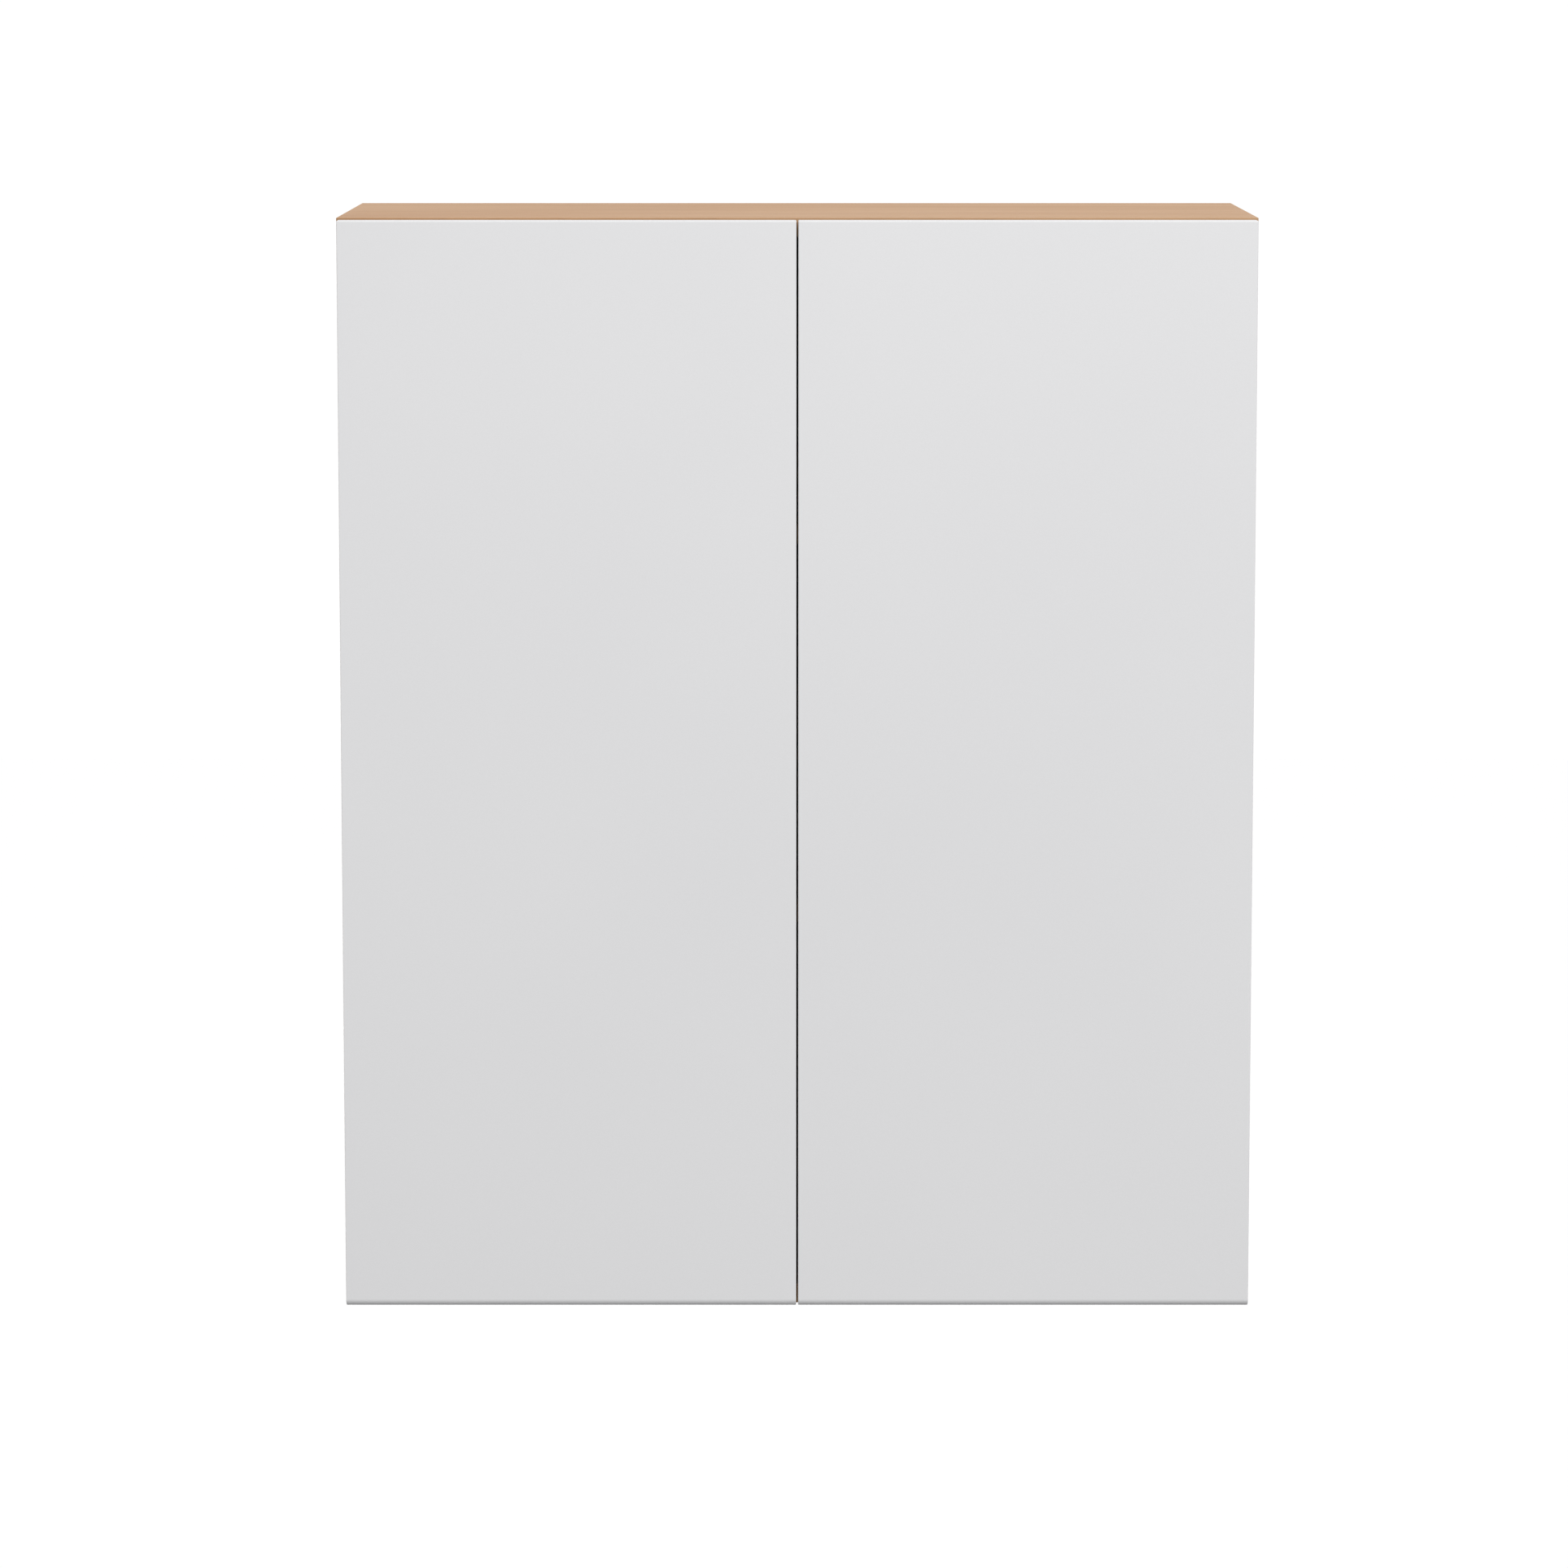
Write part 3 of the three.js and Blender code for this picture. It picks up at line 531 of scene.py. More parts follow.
def prism(outline, low, high, edge, pockets=(), face=None, skins=None):
    """A solid whose outline, in its first two axes, is carried along the third between two ends.

    Point (i, j) is outline point i, drawn in by the inset of station j, at station j. A pocket is a
    block of that grid taken out of the flat stretch at face, with walls from the block's border down
    to a floor. Returns points, faces and a skin number for each face."""
    stations, insets = round_ends(low, high, edge)
    for pocket in pockets:
        cuts = pocket.get("cells", 1) + 1
        lines = np.linspace(*pocket["along"], cuts)
        new = lines[np.abs(stations[:, None] - lines).min(axis=0) > SAME]
        where = np.searchsorted(stations, new)
        stations, insets = np.insert(stations, where, new), np.insert(insets, where, 0)
        outline = with_lines(outline, np.linspace(*pocket["across"], cuts), face)
    rows, columns = len(stations), len(outline)
    grid = np.empty((rows, columns, 3))
    grid[..., :2] = outline - insets[:, None, None] * outward(outline)
    grid[..., 2] = stations[:, None]
    grid = grid.reshape(-1, 3)
    index = np.arange(rows * columns).reshape(rows, columns)
    ahead = np.roll(index, -1, axis=1)
    quads = np.stack([index[:-1], ahead[:-1], ahead[1:], index[1:]], axis=-1)
    kept = np.ones((rows - 1, columns), bool)
    points, count = [grid], len(grid)
    extra, extra_skins = [], []
    for pocket in pockets:
        block_rows, block_columns = pocket_block(pocket, outline, stations, face)
        kept[block_rows[0] : block_rows[-1], block_columns[0] : block_columns[-1]] = False
        block = index[np.ix_(block_rows, block_columns)]
        border = np.concatenate([block[0, :-1], block[:-1, -1], block[-1, :0:-1], block[:0:-1, 0]])
        inwards = math.copysign(1, outline[:, 1].mean() - face)
        rings, faces, face_skins = pocket_walls(pocket, border, grid[border], count, inwards)
        points += rings
        count += sum(len(ring) for ring in rings)
        extra += faces
        extra_skins += face_skins
    column_skins, cap_skin = np.zeros(columns, int), 0
    if skins is not None:
        following = np.roll(outline, -1, axis=0)
        column_skins, cap_skin = skins((outline + following) / 2, following - outline)
    body_skins = np.broadcast_to(column_skins, kept.shape)[kept].tolist()
    caps = [index[0][::-1].tolist(), index[-1].tolist()]
    all_faces = quads[kept].tolist() + caps + extra
    return np.concatenate(points), all_faces, body_skins + [cap_skin] * 2 + extra_skins


def lathe(profile, facets=48):
    """A solid of revolution: each (radius, height) of a profile turned round the third axis."""
    profile = np.asarray(profile, float)
    angle = np.linspace(0, 2 * math.pi, facets, endpoint=False)
    rings = np.empty((len(profile), facets, 3))
    rings[..., 0] = profile[:, :1] * np.cos(angle)
    rings[..., 1] = profile[:, :1] * np.sin(angle)
    rings[..., 2] = profile[:, 1:]
    return skin_of(rings)


def skin_of(rings, closed=False):
    """Quads between rings of points, with a cap on the first and the last or with the two joined."""
    rows, columns = rings.shape[:2]
    index = np.arange(rows * columns).reshape(rows, columns)
    ahead = np.roll(index, -1, axis=1)
    quads = np.stack([index, ahead, np.roll(ahead, -1, axis=0), np.roll(index, -1, axis=0)], axis=-1)
    if closed:
        faces = quads.reshape(-1, 4).tolist()
    else:
        faces = quads[:-1].reshape(-1, 4).tolist() + [index[0][::-1].tolist(), index[-1].tolist()]
    return rings.reshape(-1, 3), faces, [0] * len(faces)


def placed(shell, order, signs=(1, 1, 1), shift=(0, 0, 0)):
    """A shell with its own three axes laid on the axes named by order, each with a sign, then shifted."""
    points, faces, skins = shell
    laid = np.empty_like(points)
    laid[:, list(order)] = points
    return laid * np.array(signs) + np.array(shift), faces, skins


def volume(points, faces):
    """A closed shell's volume from the triangles of its faces, negative if they face inwards."""
    sizes = np.array([len(face) for face in faces])
    total = 0.0
    for size in np.unique(sizes):
        ring = points[np.array([face for face in faces if len(face) == size])]
        total += np.einsum("ij,ikj->", ring[:, 0], np.cross(ring[:, 1:-1], ring[:, 2:])) / 6
    return total


def piece(name, body, shells, materials, replaces=()):
    """One visible object made of closed shells that all face outwards, riding on a body."""
    points, faces, skins, count = [], [], [], 0
    for shell_points, shell_faces, shell_skins in shells:
        if volume(shell_points, shell_faces) < 0:
            shell_faces = [face[::-1] for face in shell_faces]
        points.append(shell_points)
        faces += [[count + corner for corner in face] for face in shell_faces]
        skins += shell_skins
        count += len(shell_points)
    mesh = bpy.data.meshes.new(name)
    mesh.from_pydata(np.concatenate(points), [], faces)
    for material in materials:
        mesh.materials.append(material)
    mesh.polygons.foreach_set("material_index", np.array(skins, np.int32))
    mesh.shade_smooth()
    mesh.set_sharp_from_angle(angle=SHARP_ANGLE)
    made = bpy.data.objects.new(name, mesh)
    bpy.context.scene.collection.objects.link(made)
    weighted = made.modifiers.new("even_shading", "WEIGHTED_NORMAL")
    weighted.keep_sharp = True
    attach(made, body)
    if replaces:
        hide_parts(*replaces)


# ---------------------------------------------------------------- boards
BOARD_EDGE = 0.5 * MM
PIN_RADIUS = 2.5 * MM
PIN_HOLE_RADIUS = 2.6 * MM
PIN_HOLE_DEPTH = 9 * MM
PIN_HOLE_FIELD = 8 * MM  # half the square of face that a pin hole is set in
PIN_HOLE_CELLS = 4  # a round pocket has four times as many sides
HOLE_PITCH = 32 * MM
HOLES_IN_ROW = 15
LOWER_SHELF_HOLE = 3
CAM_HOLE_FIT = 0.1 * MM
CAM_FIELD = 11 * MM
CAM_CELLS = 6
GROOVE_DEPTH = 6 * MM
GROOVE_SLACK = 0.2 * MM

TOP_LOW, _ = node_box("top_panel")
_, BOTTOM_HIGH = node_box("bottom_panel")
BACK_LOW, BACK_HIGH = node_box("back_panel")
INNER_X, FRONT_Y, _ = node_box("side_panel_right")[0]
GROOVE_Y = (BACK_LOW[1] - GROOVE_SLACK, BACK_HIGH[1] + GROOVE_SLACK)


def rectangle(low, high, radius=BOARD_EDGE):
    """A rounded rectangle between two corners in a plane."""
    corners = [(low[0], low[1]), (high[0], low[1]), (high[0], high[1]), (low[0], high[1])]
    return rounded(corners, [radius] * 4)


def banded(front):
    """Skin one on the stretch that faces forwards, nought on the rest and three on both ends."""

    def skins(middle, way):
        upright = np.abs(way[:, 0]) < np.abs(way[:, 1])
        return (upright & (middle[:, 0] < front + 2 * BOARD_EDGE)).astype(int), 3

    return skins


def across_board(node, pocket_face=None):
    """A board whose length runs across the cabinet, with the back panel's groove in one face."""
    low, high = node_box(node)
    pockets = []
    if pocket_face is not None:
        reach = INNER_X + GROOVE_DEPTH
        pockets = [dict(across=GROOVE_Y, along=(-reach, reach), depth=GROOVE_DEPTH, skin=2)]
    shell = prism(
        rectangle(low[1:], high[1:]), low[0], high[0], BOARD_EDGE, pockets, pocket_face, banded(low[1])
    )
    piece(node, "carcass", [placed(shell, (1, 2, 0))], [VENEER_X, SHADED_BAND_X, CORE, BAND_Y], [node])


def side_board(side, sign):
    """A side panel: an outline with the back panel's groove, and pockets for shelf pins and cams."""
    node = f"side_panel_{side}"
    low, high = node_box(node)
    inner, outer = 0.0, high[0] - low[0]
    corners = [
        (low[1], inner),
        (GROOVE_Y[0], inner),
        (GROOVE_Y[0], GROOVE_DEPTH),
        (GROOVE_Y[1], GROOVE_DEPTH),
        (GROOVE_Y[1], inner),
        (high[1], inner),
        (high[1], outer),
        (low[1], outer),
    ]
    outline = rounded(corners, [BOARD_EDGE, 0, 0, 0, 0, BOARD_EDGE, BOARD_EDGE, BOARD_EDGE])
    pockets = []
    for row in ("front", "rear"):
        pin_low, pin_high = node_box(f"shelf_pin_lower_{side}_{row}")
        y = (pin_low[1] + pin_high[1]) / 2
        seat = pin_high[2] - PIN_RADIUS
        first = seat - LOWER_SHELF_HOLE * HOLE_PITCH
        for z in first + HOLE_PITCH * np.arange(HOLES_IN_ROW):
            pockets.append(
                dict(
                    across=(y - PIN_HOLE_FIELD, y + PIN_HOLE_FIELD),
                    along=(z - PIN_HOLE_FIELD, z + PIN_HOLE_FIELD),
                    cells=PIN_HOLE_CELLS,
                    radius=PIN_HOLE_RADIUS,
                    depth=PIN_HOLE_DEPTH,
                    skin=2,
                )
            )
        for level in LEVELS:
            cam_low, cam_high = node_box(f"cam_lock_{side}_{level}_{row}")
            y, z = (cam_low + cam_high)[1:] / 2
            pockets.append(
                dict(
                    across=(y - CAM_FIELD, y + CAM_FIELD),
                    along=(z - CAM_FIELD, z + CAM_FIELD),
                    cells=CAM_CELLS,
                    radius=(cam_high - cam_low)[1] / 2 + CAM_HOLE_FIT,
                    depth=(cam_high - cam_low)[0] + CAM_HOLE_FIT,
                    skin=2,
                )
            )
    shell = prism(outline, low[2], high[2], BOARD_EDGE / 5, pockets, inner, banded(low[1]))
    shell = placed(shell, (1, 0, 2), (sign, 1, 1), (sign * INNER_X, 0, 0))
    piece(node, "carcass", [shell], [VENEER_Z, SHADED_BAND_Z, CORE, BAND_Y], [node])


def plain_board(node, material):
    """A board with no machining, its outline seen from above or from its end."""
    low, high = node_box(node)
    shell = prism(rectangle(low[[1, 0]], high[[1, 0]]), low[2], high[2], BOARD_EDGE)
    piece(node, "carcass", [placed(shell, (1, 0, 2))], [material], [node])


across_board("top_panel", TOP_LOW[2])
across_board("bottom_panel", BOTTOM_HIGH[2])
for level in LEVELS:
    across_board(f"shelf_{level}")
    plain_board(f"hanging_rail_{level}", VENEER_X)
for side, sign in SIDES:
    side_board(side, sign)
plain_board("back_panel", BACKING)


# ---------------------------------------------------------------- doors
DOOR_EDGE = 1 * MM
LIP_RADIUS = 6 * MM
LIP_THICKNESS = 8 * MM
LIP_BACK_RADIUS = 1.5 * MM
GRIP_HEIGHT = 20 * MM
GRIP_COVE = 6 * MM
CUP_RADIUS = 17.5 * MM
CUP_DEPTH = 12 * MM
CUP_FIELD = 24 * MM
CUP_CELLS = 12
BUMPER_DOME = 0.5 * MM
BUMPER_FLAT = 0.6  # of its radius


def door(side, sign):
    """A door: its upright section with the finger groove, carried across, with two bores in its back."""
    low, high = node_box(f"door_{side}")
    front, back, bottom, top = low[1], high[1], low[2], high[2]
    corners = [
        (bottom, front),
        (bottom, front + LIP_THICKNESS),
        (bottom + GRIP_HEIGHT, front + LIP_THICKNESS),
        (bottom + GRIP_HEIGHT, back),
        (top, back),
        (top, front),
    ]
    radii = [LIP_RADIUS, LIP_BACK_RADIUS, GRIP_COVE, DOOR_EDGE / 2, DOOR_EDGE, DOOR_EDGE]
    outline = rounded(corners, radii, steps=10)
    bores = []
    for level in LEVELS:
        cup_low, cup_high = node_box(f"hinge_cup_{side}_{level}")
        x, _, z = (cup_low + cup_high) / 2
        room = min(x - low[0], high[0] - x, CUP_FIELD) - 2 * DOOR_EDGE
        bores.append(
            dict(
                across=(z - CUP_FIELD, z + CUP_FIELD),
                along=(x - room, x + room),
                cells=CUP_CELLS,
                radius=CUP_RADIUS,
                depth=CUP_DEPTH,
                skin=1,
            )
        )
    board = placed(prism(outline, low[0], high[0], 0.8 * DOOR_EDGE, bores, back), (2, 1, 0))
    piece(f"door_{side}", f"{side}_door", [board], [LACQUER, CORE], [f"door_{side}"])
    bumper_low, bumper_high = node_box(f"door_bumper_{side}")
    radius = (bumper_high - bumper_low)[0] / 2
    height = (bumper_high - bumper_low)[1]
    turn = np.linspace(0, math.pi / 2, 7)
    inwards, down = BUMPER_DOME * (1 - np.cos(turn)), BUMPER_DOME * (1 - np.sin(turn))
    dome = np.stack([radius - inwards, height - down], axis=-1)
    crown = np.array([(radius * BUMPER_FLAT, height), (POLE, height)])
    profile = np.concatenate([[(POLE, 0), (radius, 0)], dome, crown])
    middle = (bumper_low + bumper_high) / 2
    pad = placed(lathe(profile), (0, 2, 1), shift=(middle[0], bumper_low[1], middle[2]))
    piece(f"door_bumper_{side}", f"{side}_door", [pad], [RUBBER], [f"door_bumper_{side}"])


for side, sign in SIDES:
    door(side, sign)

# ---------------------------------------------------------------- small fittings
CAM_CROSS = (4.5 * MM, 1.7 * MM, 1.8 * MM)  # a cross recess: its arm, width and depth
ROD_FACETS = 24
ROD_ROUNDING = 0.3  # of the radius, at each end
PEG_FACETS = 32
COLLAR_THICKNESS = 1.4 * MM
PIN_EDGE = 0.3 * MM  # rounding of a shelf pin's edges
TONGUE_HALF = 3 * MM
TONGUE_CORNER = 2.4 * MM
TONGUE_THICKNESS = 2 * MM
PLATE_EDGE = 0.25 * MM  # rounding of a stamped plate's edges
# A recessed face is divided finely up to the first of these parts of the cross's arm, then coarsely
# from the second of them to a part of the face's radius.
FINE_TO, COARSE_FROM, FACE_TO = 1.1, 1.2, 0.93
FINE_RINGS, COARSE_RINGS = 16, 4
CHAMFER = 0.07  # of the radius


def recessed_disc(radius, thickness, dome, arm, width, depth, facets=64):
    """A round head with a cross recess.

    Its face is a height over a polar grid: dome * (1 - (r / radius)^2), less the recess depth times a
    soft cross, which is one where the smaller of |x| and |y| is under half the width and the larger
    is under the arm. The face is then closed by a chamfer, a side and a flat back."""
    angle = np.linspace(0, 2 * math.pi, facets, endpoint=False)
    fine = np.linspace(POLE, arm * FINE_TO, FINE_RINGS)
    coarse = np.linspace(arm * COARSE_FROM, radius * FACE_TO, COARSE_RINGS)
    reach = np.concatenate([fine, coarse])
    x, y = reach[:, None] * np.cos(angle), reach[:, None] * np.sin(angle)
    near, far = np.minimum(abs(x), abs(y)), np.maximum(abs(x), abs(y))
    soft = 0.25 * width
    cross = np.clip((width / 2 - near) / soft + 0.5, 0, 1) * np.clip((arm - far) / soft + 0.5, 0, 1)
    face = np.stack([x, y, dome * (1 - (reach[:, None] / radius) ** 2) - depth * cross], axis=-1)
    rim = [(radius, -CHAMFER * radius), (radius, -thickness), (POLE, -thickness)]
    back = [np.stack([r * np.cos(angle), r * np.sin(angle), np.full(facets, h)], axis=-1) for r, h in rim]
    return skin_of(np.concatenate([face, np.stack(back)]))


def rod(radius, start, end):
    """A round bar along the third axis with softly rounded ends."""
    stations, insets = round_ends(start, end, ROD_ROUNDING * radius)
    profile = np.stack([radius - insets, stations], axis=-1)
    return lathe(np.concatenate([[(POLE, start)], profile, [(POLE, end)]]), ROD_FACETS)


def shifted(shell, shift):
    """A shell moved without a turn."""
    return placed(shell, (0, 1, 2), shift=shift)


def cam_lock(node, sign):
    """A cam lock: a turned disc let into the panel's inner face, with a cross recess for its driver."""
    low, high = node_box(node)
    middle, radius = (low + high) / 2, (high - low)[1] / 2
    disc = recessed_disc(radius, (high - low)[0], 0, *CAM_CROSS)
    face = low[0] if sign > 0 else high[0]
    shell = placed(disc, (1, 2, 0), (-sign, 1, 1), (face, middle[1], middle[2]))
    piece(node, "carcass", [shell], [ZINC], [node])


def shelf_pin(node, sign):
    """A shelf pin: a turned peg and collar, flattened where the shelf passes, and a flat tongue."""
    low, high = node_box(node)
    seat = high[2]
    panel = sign * INNER_X
    y = (low[1] + high[1]) / 2
    inset = abs(high[0] if sign > 0 else low[0]) - INNER_X
    tongue_reach = INNER_X - abs(low[0] if sign > 0 else high[0])
    collar, thick, soft = (high - low)[1] / 2, COLLAR_THICKNESS, PIN_EDGE
    profile = [(POLE, inset), (PIN_RADIUS - soft, inset), (PIN_RADIUS, inset - soft), (PIN_RADIUS, 0)]
    profile += [(collar - soft / 2, 0), (collar, -soft / 2), (collar, soft - thick), (collar - soft, -thick)]
    points, faces, skins = lathe(profile + [(POLE, -thick)], PEG_FACETS)
    points, _, _ = placed((points, faces, skins), (1, 2, 0), (sign, 1, 1), (panel, y, seat - PIN_RADIUS))
    points[:, 2] = np.minimum(points[:, 2], seat)
    half = TONGUE_HALF
    corners = [(thick, -half), (tongue_reach, -half), (tongue_reach, half), (thick, half)]
    outline = rounded(corners, [0, TONGUE_CORNER, TONGUE_CORNER, 0])
    tongue = prism(outline, -TONGUE_THICKNESS, 0, PLATE_EDGE)
    tongue = placed(tongue, (0, 1, 2), (-sign, 1, 1), (panel, y, seat))
    piece(node, "carcass", [(points, faces, skins), tongue], [NICKEL], [node])


for side, sign in SIDES:
    for row in ("front", "rear"):
        for level in LEVELS:
            cam_lock(f"cam_lock_{side}_{level}_{row}", sign)
            shelf_pin(f"shelf_pin_{level}_{side}_{row}", sign)


# ---------------------------------------------------------------- hinges
# A hinge's own axes: U away from the side panel's inner face, V back from the box's front edge and W
# up from the hinge's middle. Three of its four pivots come from the joints; the inner link's in the cup is
# set by EYE_INSET, EYE_DEPTH and EYE_BELOW_PIN.
RIM_OVERHANG = 1.1 * MM
RIM_THICKNESS = 0.5 * MM
EAR_THICKNESS = 1.2 * MM
EAR_PLACE = (9.5 * MM, 22.5 * MM)  # of an ear's screw from the cup's centre
EAR_RADIUS = 6.3 * MM
EAR_SPREAD = 0.30  # radians
CUP_WALL = 1.15 * MM
PIVOT_PIN = 1.1 * MM
LINK_RADIUS = 2.5 * MM
OPEN_EYE = 2.7 * MM
OPEN_EYE_WALL = 1.2 * MM
EYE_BELOW_PIN = 1.4 * MM
ELBOW = (8.1 * MM, -0.2 * MM)  # of the outer link's bend from its cup pin
LUG = (3.8 * MM, 5.2 * MM)  # from the hinge's middle
LUG_CORNERS = (0, 1.8 * MM, 0.4 * MM, 0)
CHEEK = (5.5 * MM, 7.3 * MM)  # from the hinge's middle
SINK = 0.4 * MM  # of a lug into the cup's wall, or of a pin past its cheek
UNDER_FLANGE = 0.02 * MM
LINK_HALF = 3.5 * MM
ARM_HALF = 8.4 * MM
ARM_WALL = 1.5 * MM
ARM_FOOT = 2.6 * MM
NOSE_FOOT = 5.6 * MM
NOSE_LAP = 6 * MM  # of the nose lugs under the arm's roof
NOSE_SHOULDER = 4 * MM  # from the inner link's pin back to where a lug widens
PLATE_HEIGHT = 5 * MM
PLATE_HALF = 6.6 * MM
WING_HALF = 24 * MM
WING_HEIGHT = 2 * MM
PLATE_SCREW = 16 * MM
SCREW_ROW = 37 * MM
WING_REACH = 6 * MM  # of a wing to each side of the screw row
WING_CORNER = 5.8 * MM
PRESSED_EDGE = 0.4 * MM  # rounding of the plate's edges
HEEL_EDGE = 0.5 * MM
CUP_ROOM = 0.15 * MM  # between the cup and its bore
CUP_FACETS = 120
CUP_FLOOR = 1 * MM
CUP_FILLET = 2 * MM
EYE_INSET = 13.5 * MM  # of the inner link's eye from the bore's near wall
EYE_DEPTH = 6.4 * MM  # of that eye under the cup's mouth
LUG_REACH = 1.9 * MM  # of a cup lug round its pin
NOSE_REACH = 2.3 * MM  # of the arm's lugs round their pins
NOSE_CORNERS = [0.4 * MM, 1.5 * MM, 3 * MM, 0.98 * NOSE_REACH, 0.98 * NOSE_REACH, 0.9 * NOSE_REACH, 0.4 * MM]
BRIDGE_CORNER = 0.6 * MM
ARM_EDGE = 0.3 * MM
CHANNEL_CORNER = 0.9 * MM
ARM_FRONT = 18 * MM
ARM_HEIGHT = 13 * MM
ARM_CORNER = 2.4 * MM
ARM_SCREWS = (31 * MM, 53 * MM)
SPACER_RADIUS = 0.9 * MM
EYE_FACETS = 48
RING_CUT = 0.2 * MM
HEAD_PROUD = 0.5 * MM  # of a plate's or an arm's screw head
EAR_HEAD_PROUD = 0.2 * MM
# Screw heads: radius, thickness and dome, then the cross recess's arm, width and depth.
CUP_SCREW_HEAD = (3.7 * MM, 0.6 * MM, 0.35 * MM, 1.9 * MM, 0.9 * MM, 0.9 * MM)
PLATE_SCREW_HEAD = (4 * MM, 0.8 * MM, 0.4 * MM, 2 * MM, 0.9 * MM, 1.0 * MM)
ARM_SCREW_HEAD = (3.2 * MM, 1.2 * MM, 0.2 * MM, 1.8 * MM, 0.9 * MM, 1.2 * MM)
HEAD_FACETS = 48


def pivot(joint):
    """A joint's place in the hinge's own U and V."""
    x, y, _ = next(item["pos_m"] for item in frame["joints"] if item["name"] == joint)
    return np.array([INNER_X - abs(x), y - FRONT_Y])


def mirrored(start, end):
    """Two mirrored stretches of W, one on each side of the hinge's middle."""
    return ((start, end), (-end, -start))


def upright(outline, start, end, edge=PLATE_EDGE):
    """A plate whose outline lies in U and V, between two heights."""
    return prism(outline, start, end, edge)


def cup_shell(centre, mouth):
    """The stamped cup with its flange and two ears, as one closed surface of two parameters.

    One parameter turns round the cup's axis and the other runs along its section: from the middle of
    the inner floor up the wall, out over the flange, and back under it to the middle of the outer
    floor. The flange's reach is the rim's radius plus two soft lobes, exp(-(angle / spread)^4), and
    its thickness grows over the lobes."""
    angle = np.linspace(0, 2 * math.pi, CUP_FACETS, endpoint=False)
    ear = math.atan2(EAR_PLACE[1], EAR_PLACE[0])
    off = [(angle - place + math.pi) % (2 * math.pi) - math.pi for place in (ear, -ear)]
    lobe = sum(np.exp(-((part / EAR_SPREAD) ** 4)) for part in off)
    rim = CUP_RADIUS + RIM_OVERHANG
    reach = rim + (math.hypot(*EAR_PLACE) + EAR_RADIUS - rim) * lobe
    top = mouth + RIM_THICKNESS + (EAR_THICKNESS - RIM_THICKNESS) * lobe
    outer, inner = CUP_RADIUS - CUP_ROOM, CUP_RADIUS - CUP_WALL
    floor = mouth - CUP_DEPTH + CUP_ROOM
    level = floor + CUP_FLOOR
    soft, fillet = 0.2 * MM, CUP_FILLET
    turn = np.linspace(0, math.pi / 2, 6)
    sine, cosine = fillet * np.sin(turn), fillet * np.cos(turn)
    section = [(POLE, level), *zip(inner - fillet + sine, level + fillet - cosine)]
    section += [(inner, top - soft), (inner + soft, top), (reach - soft, top), (reach, top - soft)]
    section += [(reach, mouth + UNDER_FLANGE), (outer, mouth)]
    section += [*zip(outer - fillet + cosine, floor + fillet - sine), (POLE, floor)]
    rings = []
    for radius, height in section:
        level_ring = np.broadcast_to(height, angle.shape)
        rings.append(np.stack([centre + radius * np.cos(angle), level_ring, radius * np.sin(angle)], -1))
    return skin_of(np.array(rings))


def cup_shells(centre, mouth, outer_pin, inner_pin):
    """The cup with its two lugs, the pin through them and the two stub pins of the inner link."""
    half_chord = math.sqrt((CUP_RADIUS - CUP_WALL) ** 2 - (inner_pin[0] - centre) ** 2)
    stub = (CHEEK[0] + 0.1 * MM, half_chord + 0.5 * MM)
    near = centre - CUP_RADIUS + CUP_WALL - SINK
    far, low = outer_pin[0] + LUG_REACH, outer_pin[1] - LUG_REACH
    lug = rounded([(near, low), (far, low), (far, mouth), (near, mouth)], LUG_CORNERS)
    shells = [cup_shell(centre, mouth), shifted(rod(PIVOT_PIN, -LUG[1], LUG[1]), (*outer_pin, 0))]
    shells += [shifted(rod(PIVOT_PIN, *way), (*inner_pin, 0)) for way in mirrored(*stub)]
    return shells + [upright(lug, *way) for way in mirrored(*LUG)]


def plate_shells(front, rear):
    """The mounting plate: a bar under the arm and a round-ended wing above and below it."""
    outline = rectangle((front, -PLATE_HALF), (rear, PLATE_HALF), 1 * MM)
    bar = prism(outline, 0, PLATE_HEIGHT, PRESSED_EDGE)
    shells = [placed(bar, (1, 2, 0))]
    for up in (-1, 1):
        root, tip = up * PLATE_HALF, up * WING_HALF
        near, far = SCREW_ROW - WING_REACH, SCREW_ROW + WING_REACH
        corners = [(near, root), (near, tip), (far, tip), (far, root)]
        wing = rounded(corners, [0, WING_CORNER, WING_CORNER, 0], steps=8)
        shells.append(placed(prism(wing, 0, WING_HEIGHT, PRESSED_EDGE), (1, 2, 0)))
    return shells


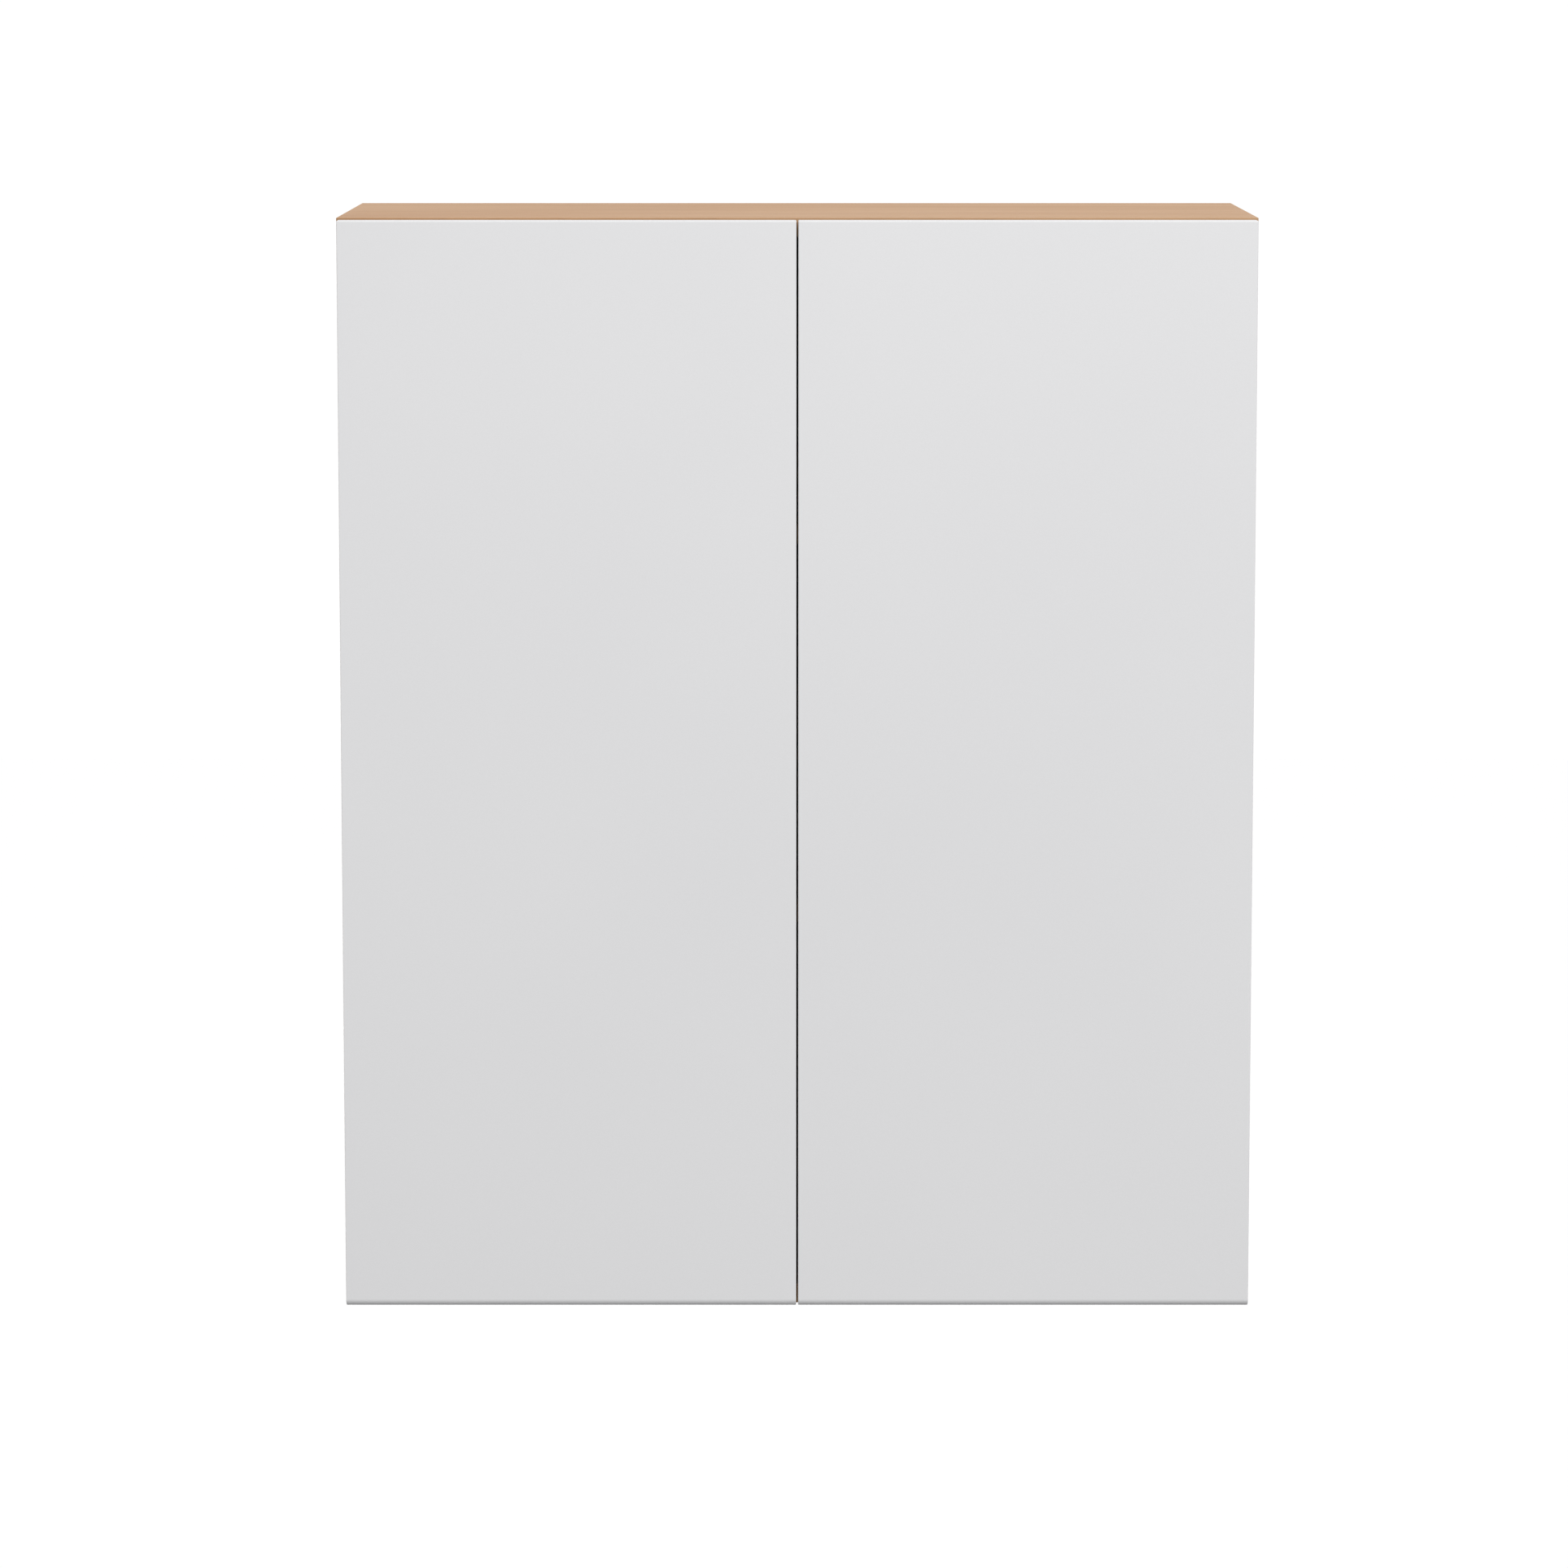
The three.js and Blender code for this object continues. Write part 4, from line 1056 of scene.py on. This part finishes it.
def arm_shells(rear, outer_pin, inner_pin):
    """The arm: a channel open towards the plate with a closed heel, two nose lugs and their pins."""
    low, high, half = ARM_FOOT, ARM_HEIGHT, ARM_HALF
    inside, roof = half - ARM_WALL, high - ARM_WALL
    fine = ARM_EDGE
    outside = [(low, -half), (high, -half), (high, half), (low, half)]
    channel = outside + [(low, inside), (roof, inside), (roof, -inside), (low, -inside)]
    outer_radii = [fine, ARM_CORNER, ARM_CORNER, fine]
    channel = rounded(channel, outer_radii + [fine, CHANNEL_CORNER, CHANNEL_CORNER, fine])
    shells = [placed(prism(channel, ARM_FRONT, rear - ARM_WALL, fine), (0, 2, 1))]
    heel = prism(rounded(outside, outer_radii), rear - ARM_WALL, rear, HEEL_EDGE)
    shells.append(placed(heel, (0, 2, 1)))
    r, lap = NOSE_REACH, ARM_FRONT + NOSE_LAP
    nose = [(NOSE_FOOT, lap), (NOSE_FOOT, ARM_FRONT), (inner_pin[0] - r, inner_pin[1] + NOSE_SHOULDER)]
    nose += [inner_pin + (-r, -r), inner_pin + (r, -r), outer_pin + (r, r), (high, lap)]
    nose = rounded(nose, NOSE_CORNERS, steps=6)
    shells += [upright(nose, *way, fine) for way in mirrored(*LUG)]
    bridge = rectangle((NOSE_FOOT, ARM_FRONT), (high, lap), BRIDGE_CORNER)
    shells.append(upright(bridge, -LUG[0], LUG[0], 0.1 * MM))
    shells.append(shifted(rod(PIVOT_PIN, -LUG[1] - fine, LUG[1] + fine), (*outer_pin, 0)))
    inner_ways = mirrored(LUG[0], CHEEK[1] + SINK)
    return shells + [shifted(rod(PIVOT_PIN, *way), (*inner_pin, 0)) for way in inner_ways]


def inner_link_shells(pin, eye):
    """The inner link: two cheeks, each a bar and a ring round the open eye, and the spacer between.

    A ring is its square section with cut corners, turned round the eye."""
    along = unit(eye - pin)
    turn = np.linspace(0, 2 * math.pi, EYE_FACETS, endpoint=False)
    shells = []
    cut, bore, rim = RING_CUT, OPEN_EYE, OPEN_EYE + OPEN_EYE_WALL
    for w0, w1 in mirrored(*CHEEK):
        shank = ribbon([pin, eye - along * (OPEN_EYE + LINK_RADIUS + cut)], LINK_RADIUS)
        shells.append(upright(shank, w0, w1))
        section = [(bore, w0 + cut), (bore + cut, w0), (rim - cut, w0), (rim, w0 + cut)]
        section += [(rim, w1 - cut), (rim - cut, w1), (bore + cut, w1), (bore, w1 - cut)]
        radius, height = np.array(section).T[:, :, None]
        level = np.broadcast_to(height, (len(section), EYE_FACETS))
        ring = np.stack([eye[0] + radius * np.cos(turn), eye[1] + radius * np.sin(turn), level], -1)
        shells.append(skin_of(ring, closed=True))
    spacer = eye + along * (OPEN_EYE + SPACER_RADIUS)
    reach = CHEEK[0] + 0.2 * MM
    return shells + [shifted(rod(SPACER_RADIUS, -reach, reach), (*spacer, 0))]


def hinge(side, sign, level):
    """One hinge: the cup on the door, the plate and the arm on the side panel, and the two links."""

    def name(part):
        return f"hinge_{part}_{side}_{level}"

    cup_low, cup_high = node_box(name("cup"))
    centre = INNER_X - abs((cup_low + cup_high)[0] / 2)
    z = (cup_low + cup_high)[2] / 2

    def fit(part, body, shells, replaced=True):
        """A piece made in the hinge's own axes, put in its place in the cabinet."""
        place = (sign * INNER_X, FRONT_Y, z)
        world = [placed(shell, (0, 1, 2), (-sign, 1, 1), place) for shell in shells]
        piece(part, body, world, [NICKEL], [part] if replaced else ())

    mouth = node_box(f"door_{side}")[1][1] - FRONT_Y
    outer_arm, inner_arm = pivot(f"{side}_outer_link_turn"), pivot(f"{side}_inner_link_turn")
    outer_cup = pivot(f"{side}_door_swing")
    eye = np.array([centre - CUP_RADIUS + EYE_INSET, mouth - EYE_DEPTH])
    cup = cup_shells(centre, mouth, outer_cup, eye + (0, EYE_BELOW_PIN))
    fit(name("cup"), f"{side}_door", cup)
    head = placed(recessed_disc(*CUP_SCREW_HEAD, HEAD_FACETS), (0, 2, 1))
    ear_u, ear_w = EAR_PLACE
    ear_top = mouth + EAR_THICKNESS + EAR_HEAD_PROUD
    screws = [shifted(head, (centre + ear_u, ear_top, up * ear_w)) for up in (-1, 1)]
    fit(f"cup_screws_{side}_{level}", f"{side}_door", screws, replaced=False)

    front, rear = (corner[1] - FRONT_Y for corner in node_box(name("plate")))
    fit(name("plate"), "carcass", plate_shells(front, rear))
    head = placed(recessed_disc(*PLATE_SCREW_HEAD, HEAD_FACETS), (1, 2, 0))
    wing_top = WING_HEIGHT + HEAD_PROUD
    screws = [shifted(head, (wing_top, SCREW_ROW, up * PLATE_SCREW)) for up in (-1, 1)]
    fit(f"plate_screws_{side}_{level}", "carcass", screws, replaced=False)

    rear = node_box(name("arm"))[1][1] - FRONT_Y
    fit(name("arm"), "carcass", arm_shells(rear, outer_arm, inner_arm))
    head = placed(recessed_disc(*ARM_SCREW_HEAD, HEAD_FACETS), (1, 2, 0))
    screws = [shifted(head, (ARM_HEIGHT + HEAD_PROUD, v, 0)) for v in ARM_SCREWS]
    fit(f"arm_screws_{side}_{level}", "carcass", screws, replaced=False)

    bar = ribbon([outer_arm, outer_cup + ELBOW, outer_cup], LINK_RADIUS)
    fit(name("outer_link"), f"{side}_outer_links", [upright(bar, -LINK_HALF, LINK_HALF, 0.5 * MM)])
    fit(name("inner_link"), f"{side}_inner_links", inner_link_shells(inner_arm, eye))


for side, sign in SIDES:
    for level in LEVELS:
        hinge(side, sign, level)


# The cam bolts inside the boards stay as the frame has them.
for node in frame["nodes"].values():
    if not node.hide_render:
        node.data.materials.clear()
        node.data.materials.append(ZINC)

# ---------------------------------------------------------------- finish
bpy.context.scene.view_settings.view_transform = "Standard"
